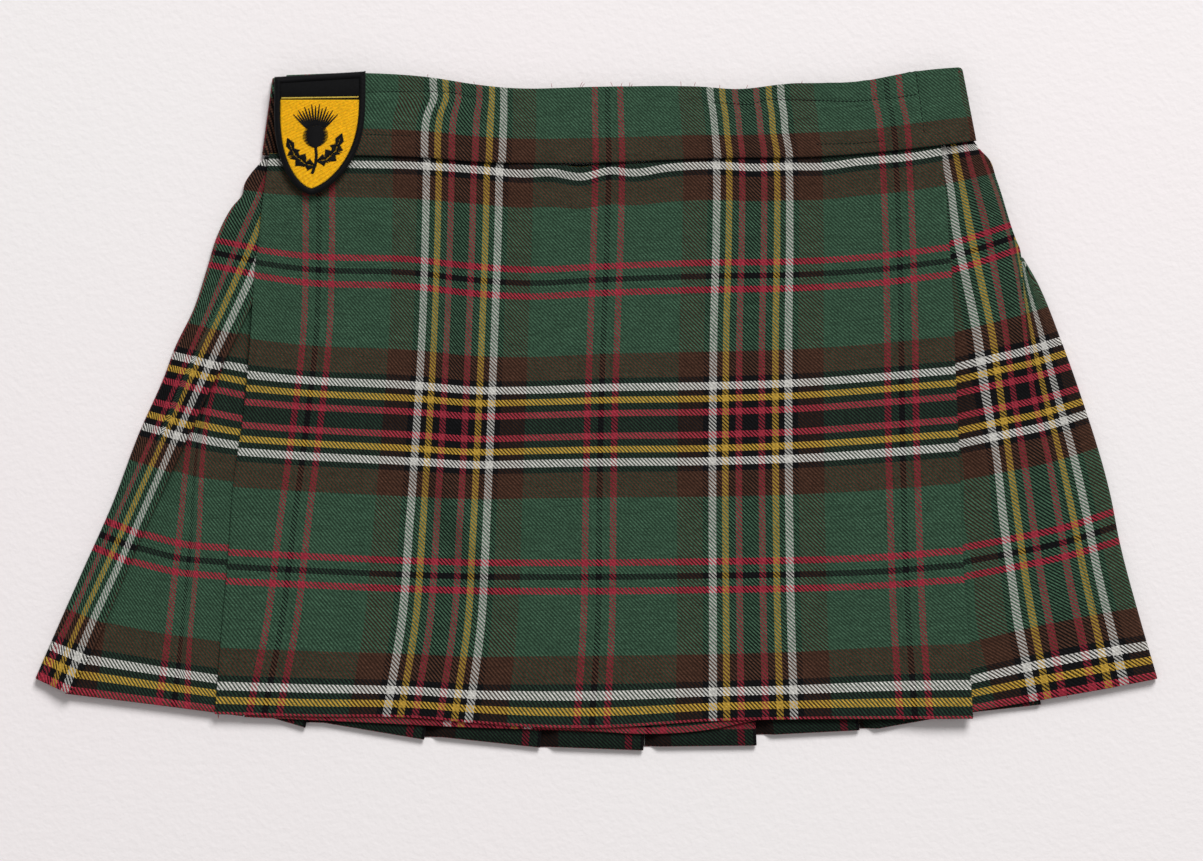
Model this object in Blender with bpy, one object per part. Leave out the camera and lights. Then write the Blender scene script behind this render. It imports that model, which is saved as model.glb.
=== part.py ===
"""A short pleated tartan kilt, laid flat on its back with the outer apron up.

+X is the viewer's right, +Y runs from the hem to the waist, +Z points up and the kilt rests on z = 0.
Every cloth piece is one closed wall: a path across the cloth, given a thickness, for each row from waist
to hem. The cloth lies in layers, one layer being the wall and the gap to the next. Tables are in
millimetres; the meshes are in metres.
"""
import math
from collections import namedtuple

import bmesh
import bpy

MM = 0.001

# ---- driving sizes, in millimetres ----
CLOTH = 1.0              # thickness of one cloth wall
GAP = 0.3                # clearance between pieces that touch
LAYER = CLOTH + GAP      # height from one cloth layer to the next
BAND_CLOTH = 1.6         # doubled cloth of the front waistbands
BACK_BAND = 2.0          # elasticated back waistband
TUCK = 3.0               # how far the outer apron's top runs in under the waistband
SEAM = 1.0               # width of the seam between the hidden bands and the cloth below them
SIDE_TURN = 9.0          # how far the side pleats turn in under the kilt
TURN_ROUND = 2.0         # radius of that turn
PLEAT_SHOW = 9.0         # part of each back pleat that its neighbour leaves uncovered inside
PLEAT_RAMP = 3.5         # run in which a back pleat climbs from its face to its inner layer
UNDERLAP = 14.0          # how far the left side pleat runs in under the outer apron
UNDER_APRON_END = 148.0  # where the under apron's free edge lies
LIFT_RUN = 42.0          # run in which the outer apron comes down off the left pleat
FOLD_RUN = 40.0          # run in which it climbs to its fold on the right
BAND_SINK = 1.4          # how much lower the waistband lies at its top edge
BADGE_W = 45.0
BADGE_H = 59.5
BADGE_AT = (-135.5, 164.0)   # middle of the badge's top edge
SHIELD_STRAIGHT = 0.25   # share of the shield's height where its sides run straight
SHIELD_LEAN = 4.2        # how far its tip lies to the left
SHIELD_TILT = 2.8        # how much higher its right corner is
BADGE_EDGE = 3.3         # width of the badge's stitched border
BADGE_HEADER = 12.6      # from its top edge to the foot of its plain header
FIELD_H = 1.0            # thickness of the badge's field
BORDER_H = 1.9           # thickness of its border


def layer_z(level):
    """Height of the middle of the cloth on a layer; level 0 rests on the surface."""
    return CLOTH / 2 + level * LAYER


BACK_FACE = layer_z(0)
BACK_MIDDLE = layer_z(1)
BACK_INNER = layer_z(2)
FRONT_LOW = layer_z(3)
FRONT_MID = layer_z(4)
FRONT_HIGH = layer_z(5)

# Sections of the front from the waist seam to the hem. depth is the share of the way down; side is the
# left outline; crease is the left pleat's fold and left_fold the cloth turned in behind it; edge is the
# outer apron's free edge; fold is its pleated right edge and right_fold the cloth turned in behind that;
# mid_y is the row's height half-way across the apron; far is the right outline; lift is how far the
# left pleat raises the apron.
Section = namedtuple("Section", "depth side_x side_y crease_x crease_y left_fold edge_x edge_y lift "
                                "mid_y fold_x fold_y right_fold far_x far_y")
SECTIONS = [
    Section(0.00, -164.2, 123.2, -139.2, 123.0, 14.0, -160.7, 123.5, 2.6, 120.5, 172.5, 129.8, 14.5, 185.7, 131.0),
    Section(0.10, -176.9, 100.0, -149.4, 97.5, 16.0, -163.7, 99.0, 2.6, 92.6, 173.3, 101.9, 13.0, 198.0, 107.3),
    Section(0.21, -185.2, 76.0, -159.7, 74.0, 14.5, -166.6, 72.0, 2.6, 63.2, 173.5, 72.5, 11.0, 204.8, 83.8),
    Section(0.33, -201.9, 41.2, -175.9, 37.7, 15.0, -169.5, 34.8, 2.5, 27.9, 175.7, 36.3, 8.5, 222.5, 50.0),
    Section(0.46, -216.6, 7.8, -192.1, 2.9, 13.5, -171.5, -2.5, 0.8, -7.8, 176.4, 0.5, 6.5, 234.2, 15.2),
    Section(0.60, -230.3, -26.0, -208.2, -32.8, 11.0, -177.1, -39.7, 0.0, -44.6, 177.9, -38.2, 4.0, 247.0, -22.5),
    Section(0.73, -243.5, -61.7, -225.4, -68.1, 7.0, -181.3, -77.9, 0.0, -82.3, 179.3, -76.4, 3.0, 255.3, -57.3),
    Section(0.84, -258.2, -89.7, -237.2, -95.5, 5.0, -183.3, -104.4, 0.0, -111.2, 181.1, -105.8, 2.0, 263.1, -87.7),
    Section(0.94, -269.0, -117.1, -249.4, -123.0, 3.0, -186.2, -132.8, 0.0, -140.6, 182.8, -135.2, 1.5, 270.0, -116.1),
    Section(1.00, -275.0, -130.8, -257.7, -140.6, 1.5, -187.2, -149.4, 0.0, -156.3, 184.2, -151.7, 1.5, 275.0, -131.8),
]

# The waistband's lower and top edges, from its free end to its right end.
BandStation = namedtuple("BandStation", "low_x low_y top_x top_y")
BAND = [
    BandStation(-160.5, 123.5, -158.5, 163.5),
    BandStation(-116.0, 124.0, -113.0, 164.6),
    BandStation(-84.0, 123.0, -83.0, 162.7),
    BandStation(-60.0, 121.0, -60.0, 159.2),
    BandStation(-40.0, 120.4, -42.0, 157.3),
    BandStation(1.5, 120.5, 1.5, 158.0),
    BandStation(50.0, 122.5, 50.5, 158.0),
    BandStation(70.0, 123.0, 69.0, 156.8),
    BandStation(94.0, 123.0, 91.0, 159.2),
    BandStation(140.0, 125.9, 133.0, 161.2),
    BandStation(160.0, 128.0, 153.5, 165.0),
    BandStation(175.5, 130.0, 168.5, 166.7),
    BandStation(185.7, 131.3, 178.8, 167.5),
]

# Knife pleats of the back, seen from inside: each inner fold at the waist and at the hem, the height of
# its corner at the hem, and the height of the next pleat's hem just beside it.
Pleat = namedtuple("Pleat", "waist_x hem_x corner_y next_y")
PLEATS = [
    Pleat(-112.5, -199.4, -143.5, -142.5),
    Pleat(-76.7, -143.1, -156.3, -153.9),
    Pleat(-39.8, -84.8, -162.2, -161.0),
    Pleat(-3.7, -27.9, -166.1, -165.6),
    Pleat(28.3, 22.8, -167.5, -165.6),
    Pleat(63.7, 78.4, -165.1, -159.7),
    Pleat(95.7, 128.9, -157.6, -156.8),
    Pleat(123.7, 173.0, -150.5, -149.0),
    Pleat(152.2, 218.0, -145.0, -141.0),
]

# The under apron's hem hangs a little below the outer apron's: how far, across its width.
HemDrop = namedtuple("HemDrop", "x drop")
UNDER_HEM = [
    HemDrop(-190.0, 0.6),
    HemDrop(-120.0, 0.6),
    HemDrop(-57.0, 2.4),
    HemDrop(0.0, 1.8),
    HemDrop(40.0, 2.6),
    HemDrop(70.0, 0.2),
    HemDrop(110.0, -4.0),
    HemDrop(150.0, -6.0),
]

# Name, base colour, roughness
MATERIALS = {
    "tartan_wool": ((0.05, 0.10, 0.07), 0.9),
    "waistband_wool": ((0.06, 0.11, 0.08), 0.9),
    "elastic_band": ((0.05, 0.09, 0.07), 0.9),
    "badge_yellow": ((0.80, 0.47, 0.03), 0.55),
    "badge_black": ((0.02, 0.02, 0.02), 0.7),
}


def clear_scene():
    for old in list(bpy.data.objects):
        bpy.data.objects.remove(old, do_unlink=True)


def material(name):
    colour, roughness = MATERIALS[name]
    made = bpy.data.materials.new(name)
    made.use_nodes = True
    shader = made.node_tree.nodes["Principled BSDF"]
    shader.inputs["Base Color"].default_value = (*colour, 1.0)
    shader.inputs["Roughness"].default_value = roughness
    shader.inputs["Metallic"].default_value = 0.0
    return made


# ---- small geometry helpers ----
def lerp(a, b, share):
    return a + (b - a) * share


def ease(share):
    share = min(1.0, max(0.0, share))
    return share * share * (3.0 - 2.0 * share)


def read_line(stations, at):
    """Height of a broken line at one place; stations are (place, height) in rising order."""
    if at <= stations[0][0]:
        return stations[0][1]
    for (x0, y0), (x1, y1) in zip(stations, stations[1:]):
        if at <= x1:
            return lerp(y0, y1, (at - x0) / (x1 - x0))
    return stations[-1][1]


def seam_y(x):
    return read_line([(station.low_x, station.low_y) for station in BAND], x)


def band_top_y(x):
    return read_line([(station.top_x, station.top_y) for station in BAND], x)


def miter_offsets(path):
    """Unit-thickness offset of each point of a path, square to it in the x-z plane."""
    normals = []
    for (x0, _, z0), (x1, _, z1) in zip(path, path[1:]):
        length = math.hypot(x1 - x0, z1 - z0)
        normals.append((-(z1 - z0) / length, (x1 - x0) / length))
    offsets = []
    for index in range(len(path)):
        before = normals[max(0, index - 1)]
        after = normals[min(index, len(normals) - 1)]
        share = 1.0 + before[0] * after[0] + before[1] * after[1]
        offsets.append(((before[0] + after[0]) / share, (before[1] + after[1]) / share))
    return offsets


def cloth_wall(name, rows, thickness, material_name):
    """One closed wall around a grid of centre points; every row runs across the cloth."""
    mesh_points = bmesh.new()
    sides = {1: [], -1: []}
    for path in rows:
        offsets = miter_offsets(path)
        for side, grid in sides.items():
            grid.append([
                mesh_points.verts.new(((x + side * dx * thickness / 2) * MM, y * MM,
                                       (z + side * dz * thickness / 2) * MM))
                for (x, y, z), (dx, dz) in zip(path, offsets)])
    last_row, last = len(rows) - 1, len(rows[0]) - 1
    for row in range(last_row):
        for col in range(last):
            for grid in sides.values():
                mesh_points.faces.new((grid[row][col], grid[row][col + 1],
                                       grid[row + 1][col + 1], grid[row + 1][col]))
    upper, lower = sides[1], sides[-1]
    for row in range(last_row):
        for col in (0, last):
            mesh_points.faces.new((upper[row][col], upper[row + 1][col],
                                   lower[row + 1][col], lower[row][col]))
    for col in range(last):
        for row in (0, last_row):
            mesh_points.faces.new((upper[row][col], upper[row][col + 1],
                                   lower[row][col + 1], lower[row][col]))
    return finish_object(name, mesh_points, material_name)


def finish_object(name, mesh_points, material_name):
    bmesh.ops.recalc_face_normals(mesh_points, faces=mesh_points.faces)
    mesh = bpy.data.meshes.new(name)
    mesh_points.to_mesh(mesh)
    mesh_points.free()
    mesh.materials.append(bpy.data.materials.get(material_name) or material(material_name))
    made = bpy.data.objects.new(name, mesh)
    bpy.context.scene.collection.objects.link(made)
    return made


def side_turn(x, y, z, inward, wall):
    """Path points that carry a wall round the kilt's side, from height z down to the surface."""
    rim = x + inward * wall / 2
    low = wall / 2
    return [
        (rim + inward * TURN_ROUND, y, z),
        (rim + inward * TURN_ROUND * 0.3, y, z - TURN_ROUND * 0.45),
        (rim, y, lerp(z, low, 0.5)),
        (rim + inward * TURN_ROUND * 0.3, y, low + TURN_ROUND * 0.45),
        (rim + inward * TURN_ROUND, y, low),
        (x + inward * SIDE_TURN, y, low),
    ]


# ---- front panels ----
def apron_z(section, x):
    """Height of the outer apron: raised by the left pleat, and by its own fold on the right."""
    left = section.lift * ease((section.crease_x + LIFT_RUN - x) / LIFT_RUN)
    right = LAYER * ease((x - section.fold_x + FOLD_RUN) / (FOLD_RUN * 0.6))
    return FRONT_MID + max(left, right)


def apron_y(section, share):
    """Height of a row across the apron: a parabola through its two edges and its middle."""
    first = section.edge_y * (1 - share) * (1 - 2 * share)
    middle = section.mid_y * 4 * share * (1 - share)
    last = section.fold_y * share * (2 * share - 1)
    return first + middle + last


def outer_apron():
    across = 18
    rows = []
    for section in SECTIONS:
        path = []
        for step in range(across + 1):
            share = step / across
            x = lerp(section.edge_x, section.fold_x - CLOTH / 2, share)
            y = apron_y(section, share)
            if section.depth == 0.0:
                y = seam_y(x) + TUCK
            path.append((x, y, apron_z(section, x)))
        fold_x, fold_y, fold_z = path[-1]
        path.append((fold_x, fold_y, fold_z - LAYER))
        path.append((section.fold_x - max(section.right_fold, 3 * CLOTH), fold_y, fold_z - LAYER))
        rows.append(path)
    return cloth_wall("outer_apron", rows, CLOTH, "tartan_wool")


def under_apron():
    across = 14
    drops = [(station.x, station.drop) for station in UNDER_HEM]
    rows = []
    for section in SECTIONS:
        path = []
        start = section.edge_x + UNDERLAP + GAP
        for step in range(across + 1):
            x = lerp(start, UNDER_APRON_END, step / across)
            share = (x - section.edge_x) / (section.fold_x - section.edge_x)
            y = apron_y(section, share) - read_line(drops, x) * section.depth
            if section.depth == 0.0:
                y = seam_y(x) - GAP
            path.append((x, y, FRONT_LOW))
        rows.append(path)
    return cloth_wall("under_apron", rows, CLOTH, "tartan_wool")


def pleats_left():
    """The cloth that comes out from under the apron, makes one tapered pleat and turns the side."""
    rows = []
    for section in SECTIONS:
        def row_y(x, row=section):
            if row.depth == 0.0:
                return seam_y(x) - GAP
            if x <= row.crease_x:
                return lerp(row.side_y, row.crease_y, (x - row.side_x) / (row.crease_x - row.side_x))
            slope = (row.edge_y + GAP - row.crease_y) / max(30.0, row.edge_x - row.crease_x)
            return row.crease_y + slope * (x - row.crease_x)

        start = section.edge_x + UNDERLAP
        inner = section.crease_x - section.left_fold
        crease = section.crease_x - CLOTH / 2
        path = [
            (start, row_y(start), FRONT_LOW),
            (lerp(start, inner, 0.5), row_y(lerp(start, inner, 0.5)), FRONT_LOW),
            (inner, row_y(inner), FRONT_LOW),
            (inner, row_y(inner), FRONT_MID),
            (crease, row_y(crease), FRONT_MID),
            (crease, row_y(crease), FRONT_HIGH),
            (inner - 2.0, row_y(inner - 2.0), FRONT_HIGH),
            (inner - 7.0, row_y(inner - 7.0), FRONT_LOW + 0.4),
        ]
        path += side_turn(section.side_x, section.side_y, FRONT_LOW, 1, CLOTH)
        rows.append(path)
    return cloth_wall("pleats_left", rows, CLOTH, "tartan_wool")


def pleats_right():
    """The cloth that leaves the outer apron's fold, lies open and turns the right side."""
    across = 5
    rows = []
    for section in SECTIONS:
        start = section.fold_x - max(section.right_fold, 3 * CLOTH)
        stop = section.far_x - CLOTH / 2 - TURN_ROUND
        path = []
        for step in range(across):
            x = lerp(start, stop, step / across)
            y = lerp(section.fold_y + 2.4 * section.depth, section.far_y,
                     (x - section.fold_x) / (section.far_x - section.fold_x))
            if section.depth == 0.0:
                y = seam_y(x) - GAP
            path.append((x, y, FRONT_LOW))
        path += side_turn(section.far_x, section.far_y, FRONT_LOW, -1, CLOTH)
        rows.append(path)
    return cloth_wall("pleats_right", rows, CLOTH, "tartan_wool")


# ---- back ----
def pleats_back():
    """The back's knife pleats: face, turned-in middle layer and inner layer, over and over."""
    rows = []
    for section in SECTIONS:
        depth = section.depth
        folds = [lerp(pleat.waist_x, pleat.hem_x, depth) for pleat in PLEATS]
        left_end = section.side_x + SIDE_TURN + GAP
        right_end = section.far_x - SIDE_TURN - GAP

        def row_y(x, hem_y, level=depth):
            return lerp(seam_y(x) - GAP, hem_y, level)

        path = [(left_end, section.side_y, BACK_FACE)]
        before, hem_before = left_end, section.side_y if depth == 1.0 else PLEATS[0].next_y
        for pleat, fold in zip(PLEATS, folds):
            face_edge = before + PLEAT_SHOW
            path += [
                (face_edge - PLEAT_RAMP, row_y(face_edge, hem_before), BACK_FACE),
                (face_edge - GAP, row_y(face_edge, hem_before), BACK_INNER),
                (fold - CLOTH / 2, row_y(fold, pleat.corner_y), BACK_INNER),
                (fold - CLOTH / 2, row_y(fold, pleat.corner_y), BACK_MIDDLE),
                (face_edge + CLOTH, row_y(face_edge, hem_before + 1.0), BACK_MIDDLE),
                (face_edge + CLOTH, row_y(face_edge, hem_before + 1.0), BACK_FACE),
                (fold, row_y(fold, pleat.next_y), BACK_FACE),
            ]
            before, hem_before = fold, pleat.next_y
        path.append((right_end, section.far_y, BACK_FACE))
        rows.append(path)
    return cloth_wall("pleats_back", rows, CLOTH, "tartan_wool")


# ---- waistband ----
BAND_ROWS = (0.0, 0.5, 1.0)      # lower edge, middle and top edge


def band_z(section, x, up):
    """Height of the outer waistband: on the apron at its lower edge, lower at its top."""
    return apron_z(section, x) + CLOTH / 2 + 1.5 * GAP + BAND_CLOTH / 2 - BAND_SINK * up


def waistband_outer():
    """The band on the outer apron; its free end is under the badge and it turns the right side."""
    top_section = SECTIONS[0]
    pieces = 3                   # path pieces between two stations
    rows = []
    for up in BAND_ROWS:
        places = [(lerp(station.low_x, station.top_x, up), lerp(station.low_y, station.top_y, up))
                  for station in BAND]
        path = []
        for (x0, y0), (x1, y1) in zip(places[:-1], places[1:-1]):
            for piece in range(pieces):
                x = lerp(x0, x1, piece / pieces)
                path.append((x, lerp(y0, y1, piece / pieces), band_z(top_section, x, up)))
        x, y = places[-2]
        path.append((x, y, band_z(top_section, x, up)))
        end_x, end_y = places[-1]
        path += side_turn(end_x, end_y, FRONT_HIGH + CLOTH - BAND_SINK * up, -1, BAND_CLOTH)
        rows.append(path)
    return cloth_wall("waistband_outer", rows, BAND_CLOTH, "waistband_wool")


LEFT_BAND_LOW_X = SECTIONS[0].side_x
LEFT_BAND_TOP_X = -159.3
UNDER_BAND_Z = BACK_BAND + 1.2 + BAND_CLOTH / 2


def waistband_under():
    """The under apron's band; it turns the left side and ends free under the outer one."""
    across = 8
    rows = []
    for up in BAND_ROWS:
        side_x = lerp(LEFT_BAND_LOW_X, LEFT_BAND_TOP_X, up)
        path = []
        for step in range(across):
            x = lerp(UNDER_APRON_END, side_x + 8.0, step / across)
            path.append((x, lerp(seam_y(x) + SEAM, band_top_y(x) - 1.0, up), UNDER_BAND_Z))
        side_y = lerp(seam_y(side_x) + SEAM, band_top_y(side_x) - 1.0, up)
        path += side_turn(side_x, side_y, UNDER_BAND_Z, 1, BAND_CLOTH)
        rows.append(path)
    return cloth_wall("waistband_under", rows, BAND_CLOTH, "waistband_wool")


def waistband_back():
    """The back's gathered band, between the two turned-in ends."""
    ribs = 30
    rows = []
    for up in BAND_ROWS:
        left = lerp(LEFT_BAND_LOW_X, LEFT_BAND_TOP_X, up) + SIDE_TURN + GAP
        right = lerp(BAND[-1].low_x, BAND[-1].top_x, up) - SIDE_TURN - GAP
        path = []
        for step in range(ribs + 1):
            x = lerp(left, right, step / ribs)
            path.append((x, lerp(seam_y(x) + SEAM, band_top_y(x) - 1.5, up), BACK_BAND / 2))
        rows.append(path)
    return cloth_wall("waistband_back", rows, BACK_BAND, "elastic_band")


# ---- badge ----
def shield_outline():
    """The shield from its top left corner clockwise: straight sides that close in to a leaning tip."""
    steps = 15

    def place(side, down):
        turn = max(0.0, (down - SHIELD_STRAIGHT) / (1.0 - SHIELD_STRAIGHT))
        half = BADGE_W / 2 * (1.0 - turn ** 2.4) ** 0.65
        x = side * half - SHIELD_LEAN * down ** 3
        y = -BADGE_H * down + side * SHIELD_TILT / 2 * (1.0 - down)
        return BADGE_AT[0] + x, BADGE_AT[1] + y

    downs = [math.sin(math.pi / 2 * step / steps) for step in range(steps + 1)]
    right = [place(1, down) for down in downs]
    left = [place(-1, down) for down in downs[:-1]]
    return left[:1] + right + left[:0:-1]


def inset_outline(points, inset):
    """The outline moved in by a distance, square to its edges."""
    moved = []
    count = len(points)
    for index, (x, y) in enumerate(points):
        x0, y0 = points[index - 1]
        x1, y1 = points[(index + 1) % count]
        before = math.atan2(y - y0, x - x0)
        after = math.atan2(y1 - y, x1 - x)
        turn = (after - before + math.pi) % (2 * math.pi) - math.pi
        inward = before + turn / 2 - math.pi / 2
        reach = inset / math.cos(turn / 2)
        moved.append((x + reach * math.cos(inward), y + reach * math.sin(inward)))
    return moved


def badge_base_z(y):
    """The badge rests on the waistband and on the apron below it."""
    low_z = band_z(SECTIONS[0], BADGE_AT[0] - BADGE_W / 2, 0.0) + BAND_CLOTH / 2 + GAP
    above_seam = (y - BAND[0].low_y) / (BAND[0].top_y - BAND[0].low_y)
    return low_z - BAND_SINK * max(-0.4, above_seam)


def badge_plate(name, outline, thickness, material_name, hole=None):
    """A plate with the given outline on the badge's base, and a hole of as many points if any."""
    mesh_points = bmesh.new()

    def ring(points, rise):
        return [mesh_points.verts.new((x * MM, y * MM, (badge_base_z(y) + rise) * MM))
                for x, y in points]

    def wall(first, second):
        for index in range(len(first)):
            after = (index + 1) % len(first)
            mesh_points.faces.new((first[index], first[after], second[after], second[index]))

    low, high = ring(outline, 0.0), ring(outline, thickness)
    wall(low, high)
    if hole:
        inner_low, inner_high = ring(hole, 0.0), ring(hole, thickness)
        wall(inner_low, inner_high)
        wall(low, inner_low)
        wall(high, inner_high)
    else:
        mesh_points.faces.new(low)
        mesh_points.faces.new(high)
    return finish_object(name, mesh_points, material_name)


def badge():
    outer = shield_outline()
    plate = inset_outline(outer, BADGE_EDGE + GAP)
    header_low = BADGE_AT[1] - BADGE_HEADER
    below = [(x, y) for x, y in plate if y < header_low - GAP]
    right_x, left_x = plate[1][0], plate[0][0]
    field = [(left_x, header_low - GAP), (right_x, header_low - GAP)] + below
    header = [plate[0], plate[1], (right_x, header_low), (left_x, header_low)]
    badge_plate("badge_border", outer, BORDER_H, "badge_black", inset_outline(outer, BADGE_EDGE))
    badge_plate("badge_field", field, FIELD_H, "badge_yellow")
    badge_plate("badge_header", header, FIELD_H, "badge_black")


def main():
    clear_scene()
    outer_apron()
    under_apron()
    pleats_left()
    pleats_right()
    pleats_back()
    waistband_outer()
    waistband_under()
    waistband_back()
    badge()


main()
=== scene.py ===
"""The looks of a short pleated tartan kilt, laid flat on its back with the outer apron up.

+X is the viewer's right, +Y runs from the hem to the waist and +Z points up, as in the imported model. Tables
are in millimetres and in threads of the cloth; the meshes are in metres. Every panel of cloth is one thin
closed shell round a grid of middle points, and its UV map counts the cloth's own threads, so the check
follows each fold.
"""
import math
from collections import namedtuple

import bmesh
import bpy
import numpy as np
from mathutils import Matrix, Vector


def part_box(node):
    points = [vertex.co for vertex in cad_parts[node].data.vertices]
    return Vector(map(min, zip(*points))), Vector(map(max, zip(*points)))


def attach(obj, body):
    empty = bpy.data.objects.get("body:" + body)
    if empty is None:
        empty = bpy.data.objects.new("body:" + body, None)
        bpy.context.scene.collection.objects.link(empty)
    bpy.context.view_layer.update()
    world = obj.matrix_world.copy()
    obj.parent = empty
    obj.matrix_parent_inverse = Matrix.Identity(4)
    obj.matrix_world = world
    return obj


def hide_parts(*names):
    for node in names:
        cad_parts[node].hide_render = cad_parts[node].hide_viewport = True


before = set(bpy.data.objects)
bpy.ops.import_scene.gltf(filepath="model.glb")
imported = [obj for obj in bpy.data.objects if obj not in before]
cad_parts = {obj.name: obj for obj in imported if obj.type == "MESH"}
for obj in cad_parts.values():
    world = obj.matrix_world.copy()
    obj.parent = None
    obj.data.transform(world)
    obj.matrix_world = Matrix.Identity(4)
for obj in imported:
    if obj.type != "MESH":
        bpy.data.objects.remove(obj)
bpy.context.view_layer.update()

MM = 0.001


def rows(fields, values):
    """A table: rows of values, with a name for each column."""
    kind = namedtuple("Row", fields)
    return [kind(*row) for row in values]


# ---- driving sizes, in millimetres ----
CLOTH = 0.7              # thickness of the twill
CAD_WALL = 1.0           # thickness of the solids that stand for it
LAYER = 1.3              # height from one layer of cloth to the next
PITCH = 0.465            # width of one thread
GRID = 2.0               # spacing of the points across a panel
COARSE_GRID = 4.0        # the same on panels that are hidden
UNDERLAP = 14.0          # how far the left pleat runs in under the outer apron
SIDE_TURN = 9.0          # how far the side pleats turn in under the kilt
LIFT_RUN = 42.0          # run in which the outer apron comes down off the left pleat
FOLD_RUN = 40.0          # run in which it climbs to its fold on the right
PLEAT_SHOW = 9.0         # part of each back pleat that its neighbour leaves uncovered inside
NODE_GAP = 0.3           # free space between cloths that are one in the real kilt
APRON_SIZE = (352.0, 275.0)   # the outer apron's width and height, for the spacing of its points
PANEL_HEIGHT = 272.0     # height of the panels under it
BACK_HEIGHT = 289.0
BAND_CLOTH = 1.6         # thickness of the folded waistband
BAND_HEIGHT = 38.0
BAND_SIDE = (-164.4, -159.3)   # where the band turns the left side, at its lower and upper edge
BAND_SINK = 1.4          # how much lower the waistband lies at its top edge
UNDER_APRON_END = 148.0  # where the under apron's free edge lies
UNDER_APRON_START = (-146.0, -172.9)   # where it meets the left pleat, at the waist and at the hem
UNDER_WHITE = (39.0, -112.7)   # thread count and place of one of its white lines
UNDER_PITCH = 0.505

# ---- the check, in threads ----
HALF_SETT = 156.0        # from the middle of a group of bright lines to the next pair of red lines
GROUP_LEVEL = 0.0        # the weft count runs up from the group at the kilt's middle
WAIST_WHITE = 273.0      # weft count of the white line just below the waistband
RED_HIGH = 156.0         # weft counts of the red pairs above and below that group
RED_LOW = -156.0
HEM_WHITE = -273.0       # weft count of the white line just above the hem
HEM = -303.4             # weft count of the hem
APRON_HEM = -299.2       # the same for the outer apron, which is cut a little shorter
APRON_TOP = 283.0
SEAM_TOP = 281.0         # where the panels below the outer apron end at the top
BACK_HEM = -321.0        # the back hangs a little lower than the front

# Half of the sett: each stripe's yarn and where it ends, from the group's middle to the red pair's.
SETT = rows("yarn end", [
    ("black", 8), ("red", 15), ("black", 22), ("yellow", 29), ("black", 35), ("white", 43),
    ("black", 49), ("brown", 75), ("green", 138), ("red", 144.7), ("green", 152.6), ("black", 156),
])
# Colours of the yarns as they look in even light, 0 to 255.
YARNS = {
    "black": (16, 16, 18),
    "red": (154, 46, 61),
    "yellow": (183, 147, 58),
    "white": (201, 199, 193),
    "brown": (70, 46, 35),
    "green": (56, 84, 65),
}

WARP_HALF_WIDTH = 0.46   # half of the part of a warp float that shows, in threads
WARP_PAINTED_SHADE = 0.48         # painted shade: the warp's floats lie a little deeper and are darkened against the weft's
# painted light: the weft's floats are lightened as if the light caught them more
WEFT_PAINTED_LIGHT = 1.46
BRIGHT_FROM = 2.2        # how soon a yarn with red in it counts as bright
BRIGHT_SOFTENS = 0.62    # how much of the painted shade and light between threads the bright yarns lose

# ---- the outer apron ----
# Heights of the check's lines and of the hem across it.
APRON_WEFTS = rows("x waist_white red_high middle red_low hem_white hem", [
    (-186.7, 121.5, 75.0, -1.0, -76.9, -135.7, -149.5),
    (-143.1, 120.5, 68.6, -4.4, -79.1, -137.0, -150.7),
    (-89.2, 119.3, 66.6, -7.1, -81.3, -138.2, -151.4),
    (-59.8, 117.1, 63.2, -9.1, -82.1, -140.1, -153.9),
    (-32.8, 116.1, 61.7, -8.6, -82.3, -140.6, -155.8),
    (-1.0, 116.1, 63.2, -7.7, -82.3, -140.6, -156.3), (57.8, 119.1, 65.2, -6.9, -81.6, -138.7, -152.9),
    (94.6, 119.1, 65.7, -5.6, -81.1, -137.7, -152.1),
    (142.6, 122.3, 68.8, -2.2, -79.4, -135.9, -151.9),
    (175.4, 126.9, 72.8, 0.5, -76.7, -135.3, -151.8), (184.2, 127.9, 73.5, 1.2, -76.2, -135.2, -151.7),
])
WEFT_LINES = {"waist_white": WAIST_WHITE, "red_high": RED_HIGH, "middle": GROUP_LEVEL,
              "red_low": RED_LOW, "hem_white": HEM_WHITE, "hem": APRON_HEM}

# Places of the middles of the red pairs and of the groups of bright lines, from the waist to the hem.
APRON_WARPS = rows("y red_left group_left red_mid group_right red_right", [
    (151.4, -135.8, -63.5, 5.0, 73.0, 143.0), (121.0, -136.2, -65.6, 5.7, 76.3, 146.3),
    (87.7, -136.2, -66.5, 5.1, 76.4, 147.9), (38.7, -137.4, -68.2, 3.3, 75.3, 149.0),
    (-7.8, -142.3, -70.2, 1.8, 75.1, 149.5), (-54.4, -148.3, -72.7, 1.1, 75.2, 150.7),
    (-108.3, -155.1, -76.4, 0.3, 75.8, 152.8), (-137.7, -160.8, -81.0, -1.5, 76.4, 154.9),
])
WARP_LINES = {"red_left": 0.0, "group_left": 156.0, "red_mid": 312.0, "group_right": 468.0,
              "red_right": 624.0}

# The white line below the waistband in full: the seam pulls it up and down a little.
WAIST_LINE = rows("x y", [
    (-200.0, 122.0), (-120.0, 120.0), (-90.0, 119.5), (-60.0, 117.5), (-35.0, 115.5), (-23.0, 116.0),
    (-8.0, 114.0), (8.0, 117.0), (16.0, 116.0), (36.0, 118.5), (59.0, 119.5), (76.0, 118.5),
    (93.0, 119.0), (110.0, 119.0), (130.0, 121.5), (152.0, 123.5), (184.0, 129.0),
])
WAIST_PULL = (200.0, 262.0)   # weft counts between which that pull grows

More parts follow.
